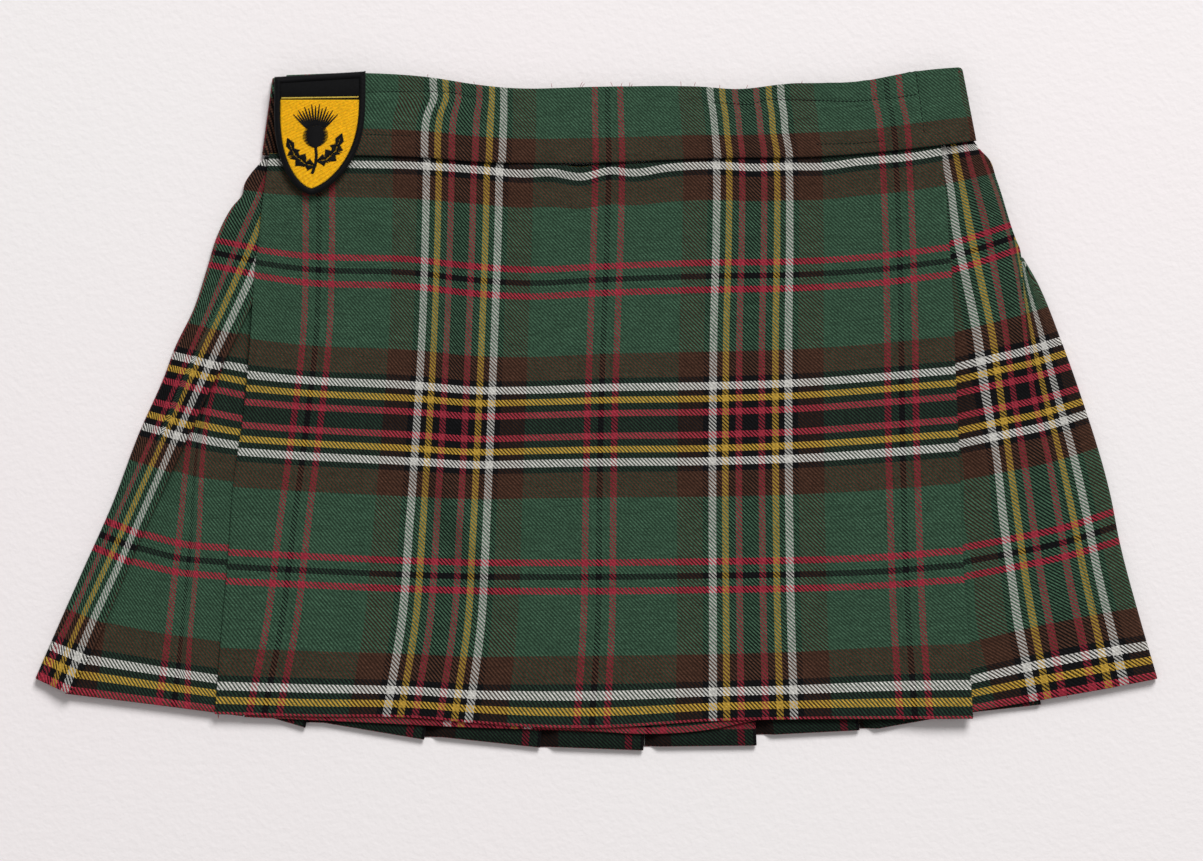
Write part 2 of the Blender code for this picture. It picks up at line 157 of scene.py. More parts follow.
# The same warp lines on the waistband, where they lean and bunch.
BAND_WARPS = rows("y red_left white_a white_b red_mid white_c white_d red_right", [
    (159.0, -135.0, -80.0, -45.7, 5.2, 55.2, 89.8, 141.8),
    (152.0, -135.3, -79.8, -45.7, 5.2, 55.9, 90.2, 142.5),
    (145.0, -135.6, -82.7, -45.7, 5.3, 57.0, 91.3, 144.2),
    (135.0, -136.0, -84.3, -46.0, 5.5, 58.0, 92.1, 145.6),
    (129.0, -136.1, -84.4, -46.2, 5.7, 58.6, 93.4, 146.2),
    (121.0, -136.2, -84.4, -46.6, 5.8, 59.5, 94.5, 146.7),
])
BAND_LINES = {"red_left": 0.0, "white_a": 117.0, "white_b": 195.0, "red_mid": 312.0, "white_c": 429.0,
              "white_d": 507.0, "red_right": 624.0}

# The apron's free edge on the left, its fold on the right and the cloth turned in behind that.
APRON_EDGES = rows("y free fold behind", [
    (121.0, -161.0, 169.4, 14.5), (102.0, -163.7, 171.2, 13.0), (83.3, -165.7, 172.3, 12.0),
    (69.1, -167.4, 173.5, 11.0), (45.1, -169.1, 174.8, 8.8), (26.5, -170.5, 175.3, 7.6),
    (-3.4, -173.5, 176.6, 6.3), (-34.3, -178.0, 178.0, 4.4), (-72.0, -180.8, 179.5, 3.2),
    (-116.6, -184.7, 182.2, 2.2), (-148.0, -187.2, 184.1, 2.0),
])
# The left pleat under the apron: where its crease lies and how far it raises the apron.
APRON_RAISES = rows("y crease lift", [
    (123.2, -139.2, 2.4), (74.0, -159.7, 2.4), (37.7, -175.9, 2.4), (2.9, -192.1, 0.8),
    (-35.0, -210.0, 0.0), (-150.0, -257.0, 0.0),
])

# ---- the left side pleats ----
# One row for each weft line: the outline, the pleat's crease, the cloth just under the crease, a point on
# the soft crease of the inner pleat and the place where the apron's edge covers it.
LEFT_LINES = rows("weft side_x side_y crease_x crease_y fold under_y soft_x soft_y edge_x edge_y", [
    (WAIST_WHITE, -164.4, 121.0, -139.4, 118.0, 14.0, 118.0, -130.0, 117.5, -120.0, 117.0),
    (RED_HIGH, -185.2, 76.2, -159.7, 70.8, 14.5, 70.8, -152.0, 70.0, -144.0, 69.0),
    (GROUP_LEVEL, -216.6, 9.3, -192.1, 3.2, 13.5, 4.8, -182.0, 2.8, -172.5, 0.8),
    (RED_LOW, -243.5, -61.5, -225.4, -68.4, 7.5, -68.0, -203.5, -73.2, -181.4, -75.2),
    (HEM_WHITE, -267.1, -116.4, -249.4, -123.3, 3.2, -123.0, -212.4, -128.7, -187.1, -132.4),
    (HEM, -275.0, -132.3, -258.0, -139.9, 1.8, -139.9, -215.2, -145.2, -187.5, -148.8),
])
# The check's warp lines on them, by weft line: on the outer pleat, then on the inner one.
LEFT_WARPS = rows("weft side_count red yellow white crease_count red_out pivot red_in", [
    (WAIST_WHITE, -9.0, -159.3, -153.3, -147.0, 53.0, -136.0, -130.0, -127.0),
    (RED_HIGH, -13.0, -178.9, -172.7, -166.3, 53.0, -172.0, -166.0, -163.0),
    (GROUP_LEVEL, -13.5, -208.8, -203.3, -197.7, 52.0, -195.4, -191.8, -190.0),
    (RED_LOW, -7.0, -240.4, -235.0, -229.8, 51.0, -205.3, -199.8, -196.8),
    (HEM_WHITE, 6.0, -264.6, -260.0, -254.6, 50.0, -212.2, -205.4, -201.2),
    (HEM, 7.5, -272.0, -267.0, -261.0, 46.0, -214.8, -207.3, -201.3),
])

# ---- the right side pleats ----
# Heights of the weft lines at four places from the apron's fold to the outline.
RIGHT_LINES = rows("weft fold_x fold_y near_y far_y side_x side_y", [
    (WAIST_WHITE, 169.4, 126.6, 127.3, 128.1, 187.3, 128.8),
    (RED_HIGH, 172.8, 74.4, 77.4, 80.9, 204.8, 84.4),
    (GROUP_LEVEL, 176.9, 2.0, 6.2, 10.2, 234.3, 15.6),
    (RED_LOW, 179.8, -75.0, -70.4, -65.1, 255.0, -57.3),
    (HEM_WHITE, 183.1, -132.8, -126.4, -120.8, 269.7, -116.1),
    (HEM, 184.2, -148.3, -143.2, -138.0, 275.1, -132.2),
])
# The check's warp lines across them, from the waist down.
RIGHT_WARPS = rows("y white_in yellow_in red_in red_out yellow_out white_out", [
    (121.0, 171.0, 176.8, 183.0, 190.0, 193.0, 196.0),
    (109.8, 173.2, 179.1, 186.0, 194.5, 197.5, 200.5),
    (87.7, 176.2, 183.0, 191.6, 201.5, 203.8, 206.0), (64.2, 180.9, 187.9, 195.9, 206.5, 208.2, 210.2),
    (38.7, 186.0, 193.5, 200.5, 209.8, 212.6, 217.2), (10.8, 190.0, 197.6, 203.9, 213.2, 218.5, 224.4),
    (-26.0, 196.2, 202.4, 209.7, 221.7, 227.5, 234.2),
    (-54.4, 199.4, 206.5, 213.7, 226.5, 233.6, 240.4),
    (-81.3, 203.2, 210.1, 217.7, 231.0, 238.8, 245.6),
    (-108.3, 207.2, 214.8, 222.7, 236.6, 244.9, 252.1),
    (-125.4, 210.7, 218.1, 225.8, 240.4, 248.4, 256.2),
])
RIGHT_COUNTS = {"white_in": 741.0, "yellow_in": 754.5, "red_in": 768.5, "red_out": 791.5,
                "yellow_out": 805.5, "white_out": 819.0}
# The small pleat near the right outline: its edge, and the cloth turned in behind it.
SMALL_PLEAT = rows("y edge behind", [
    (-160.0, 262.0, 0.0), (-20.0, 224.0, 0.0), (14.0, 215.4, 0.05), (38.7, 210.8, 2.2),
    (60.0, 208.7, 4.6), (77.4, 207.2, 6.0), (92.6, 203.4, 6.5), (110.0, 198.5, 6.8),
    (131.0, 187.5, 6.5),
])

# ---- outlines of the two sides, from the waist down ----
LEFT_OUTLINE = rows("y x", [
    (121.0, -165.0), (115.0, -170.0), (110.0, -173.0), (105.0, -174.0), (98.5, -179.0), (85.0, -186.0),
    (68.0, -191.5), (49.0, -198.0), (30.5, -207.0), (16.0, -212.5), (-10.0, -224.0), (-47.0, -238.0),
    (-80.0, -252.5), (-131.0, -275.0),
])
RIGHT_OUTLINE = rows("y x", [
    (130.5, 185.0), (127.0, 187.5), (122.5, 191.5), (112.0, 195.5), (77.5, 207.5), (62.0, 216.0),
    (33.0, 228.0), (5.0, 238.0), (-42.5, 252.0), (-65.0, 256.5), (-103.0, 266.5), (-132.0, 275.0),
])

# ---- the back ----
# Knife pleats seen from inside: each inner fold at the waist and at the hem, the height of its corner at
# the hem, and the height of the next pleat's hem just beside it.
BACK_PLEATS = rows("waist_x hem_x corner_y next_y", [
    (-112.5, -199.4, -136.0, -142.5), (-76.7, -143.1, -156.3, -153.9), (-39.8, -84.8, -162.2, -161.0),
    (-3.7, -27.9, -166.1, -165.9), (28.3, 22.8, -167.5, -165.6), (63.7, 78.4, -165.1, -159.7),
    (95.7, 128.9, -157.6, -156.8), (123.7, 173.0, -150.5, -149.0), (152.2, 218.0, -145.0, -141.0),
])
BACK_SIDES = rows("weft left right", [
    (273.0, -164.2, 185.7), (156.0, -185.2, 204.8), (0.0, -216.6, 234.2), (-156.0, -243.5, 255.3),
    (-322.0, -275.0, 275.0),
])
BACK_TOP = 292.0
SIDE_HEM = -131.0        # height of the back's hem at the two sides
INNER_PITCH = 0.52       # width of a thread on the inner layers, which are stretched a little

# ---- the under apron ----
# Its hem, which shows as a sliver below the outer apron's.
UNDER_HEM = rows("x y", [
    (-187.2, -150.4), (-119.6, -153.4), (-57.3, -156.3), (-2.9, -157.8), (21.1, -159.3),
    (60.3, -156.3), (70.1, -154.2), (110.0, -148.0), (150.0, -146.0),
])

# ---- the waistband ----
BAND = rows("low_x low_y top_x top_y", [
    (-154.5, 123.5, -152.0, 163.5), (-116.0, 124.0, -113.0, 164.6), (-84.0, 123.0, -83.0, 162.7),
    (-60.0, 121.0, -60.0, 159.2), (-40.0, 120.4, -42.0, 157.3), (1.5, 120.5, 1.5, 158.0),
    (50.0, 122.5, 50.5, 158.0), (70.0, 123.0, 69.0, 156.8), (94.0, 123.0, 91.0, 159.2),
    (140.0, 125.9, 133.0, 161.2), (160.0, 128.0, 153.5, 165.0), (175.5, 130.0, 168.5, 166.7),
    (185.7, 131.3, 178.8, 167.5),
])
BAND_LOW_WEFT = 48.5     # weft count at the waistband's lower edge
BAND_TOP_WEFT = 131.0

# ---- the badge ----
BADGE_W = 45.0
BADGE_H = 59.5
BADGE_AT = (-135.5, 164.0)   # middle of its top edge
SHIELD_STRAIGHT = 0.25   # share of the shield's height where its sides run straight
SHIELD_LEAN = 4.2        # how far its tip lies to the left
SHIELD_TILT = 2.8        # how much higher its right corner is
BADGE_EDGE = 3.3         # width of its stitched border
BADGE_HEADER = 12.6      # from its top edge to the foot of its plain header
FIELD_H = 1.0            # thickness of its field


# ---- small helpers ----
def lerp(a, b, share):
    return a + (b - a) * share


def ease(share):
    share = np.clip(share, 0.0, 1.0)
    return share * share * (3.0 - 2.0 * share)


def between(value, low, low_run, high, high_run):
    """1 between two places and 0 beyond them, with an easy run up past the first and down to the second."""
    return ease((value - low) / low_run) * ease((high - value) / high_run)


def column(table, name):
    return np.array([getattr(row, name) for row in table], float)


def smooth_through(places, values, at):
    """A smooth curve through values at places, straight on beyond its ends; values may be rows."""
    places = np.asarray(places, float)
    values = np.asarray(values, float)
    if places[0] > places[-1]:
        places, values = places[::-1], values[::-1]
    slopes = np.gradient(values, places, axis=0)
    at = np.asarray(at, float)
    index = np.clip(np.searchsorted(places, at) - 1, 0, len(places) - 2)
    step = places[index + 1] - places[index]
    share = (at - places[index]) / step
    inside = np.clip(share, 0.0, 1.0)
    before, after = values[index], values[index + 1]
    rise, fall = slopes[index] * step, slopes[index + 1] * step
    square, cube = inside ** 2, inside ** 3
    curve = ((2 * cube - 3 * square + 1) * before + (cube - 2 * square + inside) * rise
             + (3 * square - 2 * cube) * after + (cube - square) * fall)
    beyond = share - inside
    return curve + np.where(beyond < 0, rise, fall) * beyond


def along(table, place, name, at):
    """One column of a table read smoothly at places of another."""
    return smooth_through(column(table, place), column(table, name), at)


def counts_across(lines, counts, x):
    """Thread count at x from the places of the check's lines, carried on beyond the outer ones."""
    found = counts[0] + (x - lines[0]) * (counts[1] - counts[0]) / (lines[1] - lines[0])
    for left, right, low, high in zip(lines[1:], lines[2:], counts[1:], counts[2:]):
        found = np.where(x > left, low + (x - left) * (high - low) / (right - left), found)
    return found


RIM = (0.0, 0.08, 0.3, 0.65)   # points that round off a cut edge, in half thicknesses in from it


def spaced(length, step, rim_first=True, rim_last=True, thickness=CLOTH):
    """Shares from 0 to 1 along a length, a step apart, and closer where a cut edge is rounded off."""
    inner = np.linspace(0.0, length, max(3, int(round(length / step)) + 1))[1:-1]
    rim = np.array(RIM) * thickness / 2
    first = rim if rim_first else np.zeros(1)
    last = length - (rim[::-1] if rim_last else np.zeros(1))
    return np.concatenate([first, inner, last]) / length


def reach_along(points):
    steps = np.linalg.norm(np.diff(points, axis=0), axis=1)
    return np.concatenate([[0.0], np.cumsum(steps)])


def carry_counts(reach, known, counts):
    """Thread count all along a path, from the stretches of it where the check's lines are placed."""
    known_reach, known_counts = reach[known], counts[known]
    filled = np.interp(reach, known_reach, known_counts)
    turn = 1.0 if known_counts[-1] > known_counts[0] else -1.0
    before, after = reach < known_reach[0], reach > known_reach[-1]
    filled[before] = known_counts[0] - turn * (known_reach[0] - reach[before]) / PITCH
    filled[after] = known_counts[-1] + turn * (reach[after] - known_reach[-1]) / PITCH
    return filled


def half_turn(x, z_from, z_to, side, steps=6):
    """Round a fold whose outer side is at x, from one height to another; side 1 bulges right."""
    angle = np.linspace(0.0, math.pi, steps + 1)[1:-1]
    radius = abs(z_to - z_from) / 2
    turn_x = x + side * radius * (np.sin(angle) - 1.0)
    turn_z = (z_from + z_to) / 2 + (z_from - z_to) / 2 * np.cos(angle)
    return turn_x, turn_z


# ---- cloth shells ----
def new_mesh(name, places, edges, faces):
    mesh = bpy.data.meshes.new(name)
    mesh.from_pydata(places, edges, faces)
    return mesh


def place_object(name, data):
    made = bpy.data.objects.new(name, data)
    bpy.context.scene.collection.objects.link(made)
    return made


def rounded_rims(points, half):
    """Half the cloth's thickness at each point of a grid; it closes in a half-round at the rims."""
    across = np.linalg.norm(np.diff(points, axis=1), axis=2)
    down = np.linalg.norm(np.diff(points, axis=0), axis=2)
    high, wide = points.shape[:2]
    nearest = np.full((high, wide), 1e9)
    for steps, axis in ((across, 1), (down, 0)):
        run = np.cumsum(steps, axis=axis)
        zero = np.zeros((high, 1)) if axis == 1 else np.zeros((1, wide))
        run = np.concatenate([zero, run], axis=axis)
        back = np.take(run, [-1], axis=axis) - run
        nearest = np.minimum(nearest, np.minimum(run, back))
    share = np.clip(nearest / half, 0.0, 1.0)
    return half * np.sqrt(1.0 - (1.0 - share) ** 2)


def grid_normals(points):
    across = np.gradient(points, axis=1)
    down = np.gradient(points, axis=0)
    normal = np.cross(down, across)
    return normal / np.maximum(np.linalg.norm(normal, axis=2, keepdims=True), 1e-9)


def cloth_shell(name, threads_across, thickness, material):
    """A closed thin wall round rows of middle points; its UV map holds the thread counts.

    Each row is the x, y and z of its points, their warp counts and the row's weft count.
    """
    points = np.array([np.stack([x, y, z], axis=1) for x, y, z, _, _ in threads_across])
    counts = np.array([np.stack([warp, np.full_like(x, weft)], axis=1)
                       for x, _, _, warp, weft in threads_across])
    high, wide = points.shape[:2]
    half = rounded_rims(points, thickness / 2)[..., None]
    normal = grid_normals(points)
    top = (points + normal * half).reshape(-1, 3)
    low = (points - normal * half).reshape(-1, 3)
    index = np.arange(high * wide).reshape(high, wide)
    under = index.copy()
    inner = index[1:-1, 1:-1]
    under[1:-1, 1:-1] = high * wide + np.arange(inner.size).reshape(inner.shape)
    low_inner = low.reshape(high, wide, 3)[1:-1, 1:-1].reshape(-1, 3)
    places = np.concatenate([top, low_inner]) * MM
    uv_low = counts[1:-1, 1:-1].reshape(-1, 2)
    uv = np.concatenate([counts.reshape(-1, 2), uv_low])

    def quads(grid, flip):
        corners = [grid[:-1, :-1], grid[1:, :-1], grid[1:, 1:], grid[:-1, 1:]]
        if flip:
            corners.reverse()
        return np.stack(corners, axis=-1).reshape(-1, 4)

    faces = np.concatenate([quads(index, False), quads(under, True)])
    mesh = new_mesh(name, places.tolist(), [], faces.tolist())
    layer = mesh.uv_layers.new(name="threads")
    corner_points = np.zeros(len(mesh.loops), np.int32)
    mesh.loops.foreach_get("vertex_index", corner_points)
    layer.data.foreach_set("uv", uv[corner_points].astype(np.float32).ravel())
    return finish_mesh(name, mesh, material)


def finish_mesh(name, mesh, material):
    """Faces turned outward and shaded smooth, one material, and an object at the origin."""
    work = bmesh.new()
    work.from_mesh(mesh)
    bmesh.ops.recalc_face_normals(work, faces=work.faces)
    work.to_mesh(mesh)
    work.free()
    mesh.shade_smooth()
    mesh.materials.clear()
    mesh.materials.append(material)
    return place_object(name, mesh)


# ---- shader helpers ----
def linear(colour):
    """A colour of 0 to 255 as the shaders take it."""
    shares = [value / 255.0 for value in colour]
    return tuple(s / 12.92 if s <= 0.04045 else ((s + 0.055) / 1.055) ** 2.4 for s in shares)


def add_node(tree, kind, *sources, **settings):
    """A node with its settings; its inputs in order are linked to sockets or set to values."""
    node = tree.nodes.new(kind)
    for name, value in settings.items():
        setattr(node, name, value)
    for socket, source in zip(node.inputs, sources):
        if isinstance(source, bpy.types.NodeSocket):
            tree.links.new(source, socket)
        elif source is not None:
            socket.default_value = source
    return node


def calc(tree, operation, *sources):
    return add_node(tree, "ShaderNodeMath", *sources, operation=operation).outputs[0]


def mix_colour(tree, share, first, second, blend="MIX"):
    """Two colours, each a socket or a value, mixed in a share or by another blend."""
    node = tree.nodes.new("ShaderNodeMix")
    node.data_type = "RGBA"
    node.blend_type = blend
    for socket, source in ((node.inputs[0], share), (node.inputs[6], first), (node.inputs[7], second)):
        if isinstance(source, bpy.types.NodeSocket):
            tree.links.new(source, socket)
        else:
            socket.default_value = source
    return node.outputs[2]


def new_material(name, roughness):
    made = bpy.data.materials.new(name)
    made.use_nodes = True
    shader = made.node_tree.nodes["Principled BSDF"]
    shader.inputs["Roughness"].default_value = roughness
    shader.inputs["Specular IOR Level"].default_value = 0.2
    return made, made.node_tree, shader


def noise(tree, place, scale, detail):
    node = add_node(tree, "ShaderNodeTexNoise", place)
    node.inputs["Scale"].default_value = scale
    node.inputs["Detail"].default_value = detail
    return node.outputs[0]


def spread(tree, value, low, high, to_low, to_high):
    """A value carried over from one range to another."""
    return add_node(tree, "ShaderNodeMapRange", value, low, high, to_low, to_high).outputs[0]


def grey(tree, value):
    return add_node(tree, "ShaderNodeCombineXYZ", value, value, value).outputs[0]


def emboss(tree, shader, height, strength, depth):
    """Let the light catch a height as if it stood out by a depth in millimetres."""
    bump = tree.nodes.new("ShaderNodeBump")
    bump.inputs["Strength"].default_value = strength
    bump.inputs["Distance"].default_value = depth * MM
    tree.links.new(height, bump.inputs["Height"])
    tree.links.new(bump.outputs[0], shader.inputs["Normal"])


# ---- the tartan ----
def stripe_ramp(tree, position):
    """Yarn colour at a place in the half sett, 0 at the group's middle and 1 at the red pair's."""
    ramp = tree.nodes.new("ShaderNodeValToRGB")
    ramp.color_ramp.interpolation = "CONSTANT"
    tree.links.new(position, ramp.inputs[0])
    stops = ramp.color_ramp.elements
    start = 0.0
    for number, stripe in enumerate(SETT):
        place = start / HALF_SETT
        stop = stops[0] if number == 0 else stops.new(place)
        stop.position = place
        stop.color = (*linear(YARNS[stripe.yarn]), 1.0)
        start = stripe.end
    if stops[len(stops) - 1].position == 1.0:
        stops.remove(stops[len(stops) - 1])
    return ramp.outputs[0]


def yarn_streaks(tree, thread, place, seed):
    """Light and dark stretches along each thread, as spun yarn has."""
    where = add_node(tree, "ShaderNodeCombineXYZ", calc(tree, "MULTIPLY", thread, 7.31),
                     calc(tree, "MULTIPLY", place, 0.05), seed).outputs[0]
    return spread(tree, noise(tree, where, 1.0, 3.0), 0.25, 0.75, 0.6, 1.4)


def from_middle(tree, count):
    """How far a place is from the middle of its thread, 0 to 0.5."""
    return calc(tree, "ABSOLUTE", calc(tree, "SUBTRACT", calc(tree, "FRACT", count), 0.5))


def round_back(tree, count):
    """Height across a thread: 1 in its middle, 0 at its edges."""
    from_edge = calc(tree, "MULTIPLY", from_middle(tree, count), 2.0)
    return calc(tree, "SUBTRACT", 1.0, calc(tree, "POWER", from_edge, 2.0))


def float_rise(tree, turn, across):
    """Height along a float: 0 where the thread dives at its ends, 1 in the middle."""
    share = calc(tree, "MULTIPLY", calc(tree, "ADD", turn, calc(tree, "FRACT", across)), 0.5)
    return calc(tree, "MULTIPLY", calc(tree, "MULTIPLY", share, calc(tree, "SUBTRACT", 1.0, share)), 4.0)


def tartan(name, lightness):
    """2/2 twill of warp and weft threads in the sett's colours, with each thread's round back, painted shade
    and light between the threads, and a lightness that darkens all of it as painted shade.
    """
    made, tree, shader = new_material(name, 0.95)
    uv = add_node(tree, "ShaderNodeUVMap", uv_map="threads").outputs[0]
    split = add_node(tree, "ShaderNodeSeparateXYZ", uv)
    u, v = split.outputs[0], split.outputs[1]
    warp_place = calc(tree, "DIVIDE", calc(tree, "PINGPONG", calc(tree, "ADD", u, HALF_SETT), HALF_SETT),
                      HALF_SETT)
    weft_place = calc(tree, "DIVIDE", calc(tree, "PINGPONG", v, HALF_SETT), HALF_SETT)
    warp_thread, weft_thread = calc(tree, "FLOOR", u), calc(tree, "FLOOR", v)
    turn = calc(tree, "FLOORED_MODULO", calc(tree, "ADD", warp_thread, weft_thread), 4.0)
    warp_over = calc(tree, "LESS_THAN", turn, 1.5)
    # The warp's floats are narrower, so the weft shows in the gaps between them.
    in_gap = calc(tree, "GREATER_THAN", from_middle(tree, u), WARP_HALF_WIDTH)
    warp_shown = calc(tree, "MULTIPLY", warp_over, calc(tree, "SUBTRACT", 1.0, in_gap))
    yarn = mix_colour(tree, warp_shown, stripe_ramp(tree, weft_place), stripe_ramp(tree, warp_place))
    # Each yarn's own streaks, times painted shade on the warp's floats and painted light on the weft's.
    warp_streaks_and_shade = calc(tree, "MULTIPLY", yarn_streaks(tree, warp_thread, v, 1.7), WARP_PAINTED_SHADE)
    weft_streaks_and_light = calc(tree, "MULTIPLY", yarn_streaks(tree, weft_thread, u, 8.3), WEFT_PAINTED_LIGHT)
    tone = add_node(tree, "ShaderNodeMix", warp_over, None, weft_streaks_and_light, warp_streaks_and_shade).outputs[0]
    back = add_node(tree, "ShaderNodeMix", warp_over, None, round_back(tree, v),
                    round_back(tree, u)).outputs[0]
    warp_rise = float_rise(tree, turn, v)
    weft_rise = float_rise(tree, calc(tree, "SUBTRACT", turn, 2.0), u)
    rise = add_node(tree, "ShaderNodeMix", warp_over, None, weft_rise, warp_rise).outputs[0]
    height = calc(tree, "MULTIPLY", back, calc(tree, "ADD", 0.45, calc(tree, "MULTIPLY", rise, 0.55)))
    # Painted shade in the grooves between threads and where floats dive, painted light on their crowns.
    painted_thread_shading = spread(tree, height, 0.0, 0.8, 0.2, 1.14)
    place = add_node(tree, "ShaderNodeTexCoord").outputs["Object"]
    fuzz_tone = spread(tree, noise(tree, place, 1000.0, 1.0), 0.3, 0.7, 0.78, 1.22)
    painted_shading_contrast = calc(tree, "SUBTRACT", calc(tree, "MULTIPLY", tone, painted_thread_shading), 1.0)
    redness = add_node(tree, "ShaderNodeSeparateColor", yarn).outputs[0]
    bright = calc(tree, "MINIMUM", calc(tree, "MULTIPLY", redness, BRIGHT_FROM), 1.0)
    kept = calc(tree, "SUBTRACT", 1.0, calc(tree, "MULTIPLY", bright, BRIGHT_SOFTENS))
    # Bright yarns keep less of the painted shading; a lightness below 1 darkens the whole cloth as painted
    # shade.
    shade = calc(tree, "MULTIPLY", calc(tree, "ADD", 1.0, calc(tree, "MULTIPLY", painted_shading_contrast, kept)),
                 calc(tree, "MULTIPLY", fuzz_tone, lightness))
    tree.links.new(mix_colour(tree, 1.0, yarn, grey(tree, shade), "MULTIPLY"), shader.inputs["Base Color"])
    emboss(tree, shader, height, 0.6, 0.15)
    shader.inputs["Specular IOR Level"].default_value = 0.08
    shader.inputs["Sheen Weight"].default_value = 0.02
    shader.inputs["Sheen Roughness"].default_value = 0.6
    return made


def thread_material(name, colour, roughness, sheen):
    """Embroidery or sewing thread: fine strands that catch the light."""
    made, tree, shader = new_material(name, roughness)
    strands = noise(tree, add_node(tree, "ShaderNodeTexCoord").outputs["Object"], 900.0, 3.0)
    tone = grey(tree, spread(tree, strands, 0.3, 0.7, 0.8, 1.12))
    tree.links.new(mix_colour(tree, 1.0, (*linear(colour), 1.0), tone, "MULTIPLY"),
                   shader.inputs["Base Color"])
    emboss(tree, shader, strands, 0.3, 0.1)
    shader.inputs["Sheen Weight"].default_value = sheen
    shader.inputs["Specular IOR Level"].default_value = 0.1
    return made


def floor_material():
    """A pale table with a fine grain."""
    made, tree, shader = new_material("pale_table", 0.75)
    place = add_node(tree, "ShaderNodeTexCoord").outputs["Object"]
    grain = noise(tree, place, 420.0, 4.0)
    cloud = noise(tree, place, 3.0, 2.0)
    pebble = noise(tree, place, 190.0, 2.0)
    tone = spread(tree, cloud, 0.3, 0.7, 0.0, 1.0)
    colour = mix_colour(tree, tone, (*linear((245, 238, 239)), 1.0), (*linear((243, 239, 239)), 1.0))
    tree.links.new(colour, shader.inputs["Base Color"])
    emboss(tree, shader, calc(tree, "ADD", grain, pebble), 0.4, 0.5)
    return made


# ---- creases ----
APRON_CREASES = rows("x0 y0 x1 y1 width height", [
    (-64.0, 116.0, -61.0, -8.0, 8.0, 2.6), (-84.0, 100.0, -78.0, 40.0, 8.0, 0.5),
    (-96.0, -20.0, -56.0, -112.0, 6.5, -1.2), (-84.0, -18.0, -40.0, -104.0, 7.0, 2.1),
    (-64.0, -20.0, -66.0, -150.0, 5.0, 0.5), (-30.0, -70.0, -31.0, -158.0, 6.0, 0.7),
    (-24.0, 60.0, -14.0, -40.0, 13.0, 0.5), (22.0, -50.0, 27.0, -160.0, 9.0, 0.55),
    (48.0, 90.0, 52.0, -158.0, 8.0, 0.5), (112.0, 100.0, 120.0, -40.0, 12.0, -0.4),
    (124.0, -30.0, 131.0, -156.0, 7.0, 0.6), (92.0, -60.0, 97.0, -156.0, 6.0, 0.4),
    (180.3, -30.0, 181.4, -156.0, 1.1, 0.45), (-48.0, 118.0, 2.0, 116.0, 2.4, 1.3),
    (2.0, 117.5, 54.0, 119.5, 2.2, 0.8), (-18.0, 108.0, 20.0, 100.0, 5.0, -0.6),
    (-58.0, 116.0, -34.0, 104.0, 5.0, 0.7), (56.0, 119.0, 92.0, 112.0, 5.0, 0.6),
    (-150.0, 96.0, -112.0, 50.0, 9.0, 0.7), (-122.0, 104.0, -96.0, 82.0, 7.0, 0.6),
    (-150.0, -60.0, -134.0, -150.0, 7.0, 0.6), (-165.0, -20.0, -168.0, -150.0, 5.0, 0.4),
    (-98.0, -110.0, -101.0, -152.0, 4.0, 0.45),
])


def crease_relief(creases, x, y):
    """Height of the soft ridges and troughs at points of a panel."""
    total = np.zeros_like(x)
    for crease in creases:
        dx, dy = crease.x1 - crease.x0, crease.y1 - crease.y0
        run = math.hypot(dx, dy)
        down = ((x - crease.x0) * dx + (y - crease.y0) * dy) / run ** 2
        away = ((x - crease.x0) * dy - (y - crease.y0) * dx) / run / crease.width
        fade = ease(np.minimum(down, 1.0 - down) / 0.3)
        total += crease.height * fade * np.exp(-away ** 2)
    return total


def slow_waves(x, y, height):
    """The slight unevenness of cloth that isn't stretched."""
    first = np.sin(x / 17.0 + 1.3 * np.sin(y / 41.0)) * np.sin(y / 29.0 + x / 90.0 + 0.7)
    second = np.sin(x / 31.0 - y / 23.0 + 2.1)
    return height * (0.6 * first + 0.4 * second)


# ---- the panels ----
FRONT_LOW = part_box("under_apron")[1].z / MM - CLOTH / 2
FRONT_MID_CAD = FRONT_LOW + CLOTH / 2 - CAD_WALL / 2 + LAYER
FRONT_MID = FRONT_LOW + LAYER
FRONT_HIGH = FRONT_MID + LAYER
ON_APRON = CAD_WALL / 2 + 0.45   # from the middle of the apron's cloth to what lies on it
BACK_FACE = CLOTH / 2
BACK_MIDDLE = BACK_FACE + LAYER
BACK_INNER = BACK_MIDDLE + LAYER


def apron_weft_y(x, weft):
    """Height of one weft thread across the outer apron."""
    lines = np.stack([along(APRON_WEFTS, "x", name, x) for name in WEFT_LINES])
    levels = np.array(list(WEFT_LINES.values()))
    y = smooth_through(levels, lines, np.full(1, weft))[0]
    pull = along(WAIST_LINE, "x", "y", x) - along(APRON_WEFTS, "x", "waist_white", x)
    low, high = WAIST_PULL
    return y + pull * ease((weft - low) / (high - low))


def apron_warp_count(x, y):
    lines = [along(APRON_WARPS, "y", name, y) for name in WARP_LINES]
    return counts_across(lines, list(WARP_LINES.values()), x)


FOLD_GAPE = 1.5          # how far the apron's fold stands off the cloth beside it
GAPE_RUN = 24.0          # run in which it rises to that
CREASE_GAPE = 3.2        # the same for the left pleat's crease, at its most
CREASE_GAPE_AT = (-6.0, 42.0)   # height on the kilt where it gapes most, and over what run
CREASE_RUN = 13.0        # run in which it rises to that
FOLD_SWELL = 1.7         # how far the cloth beside the apron's fold swells up
SWELL_AT = (13.0, 8.0)   # how far from the fold it does, and over what run
SOFT_RIDGE = 2.4         # height of the soft crease on the inner pleat
SOFT_FLANKS = (10.0, 4.0)   # how wide its flanks are, on the left and on the right


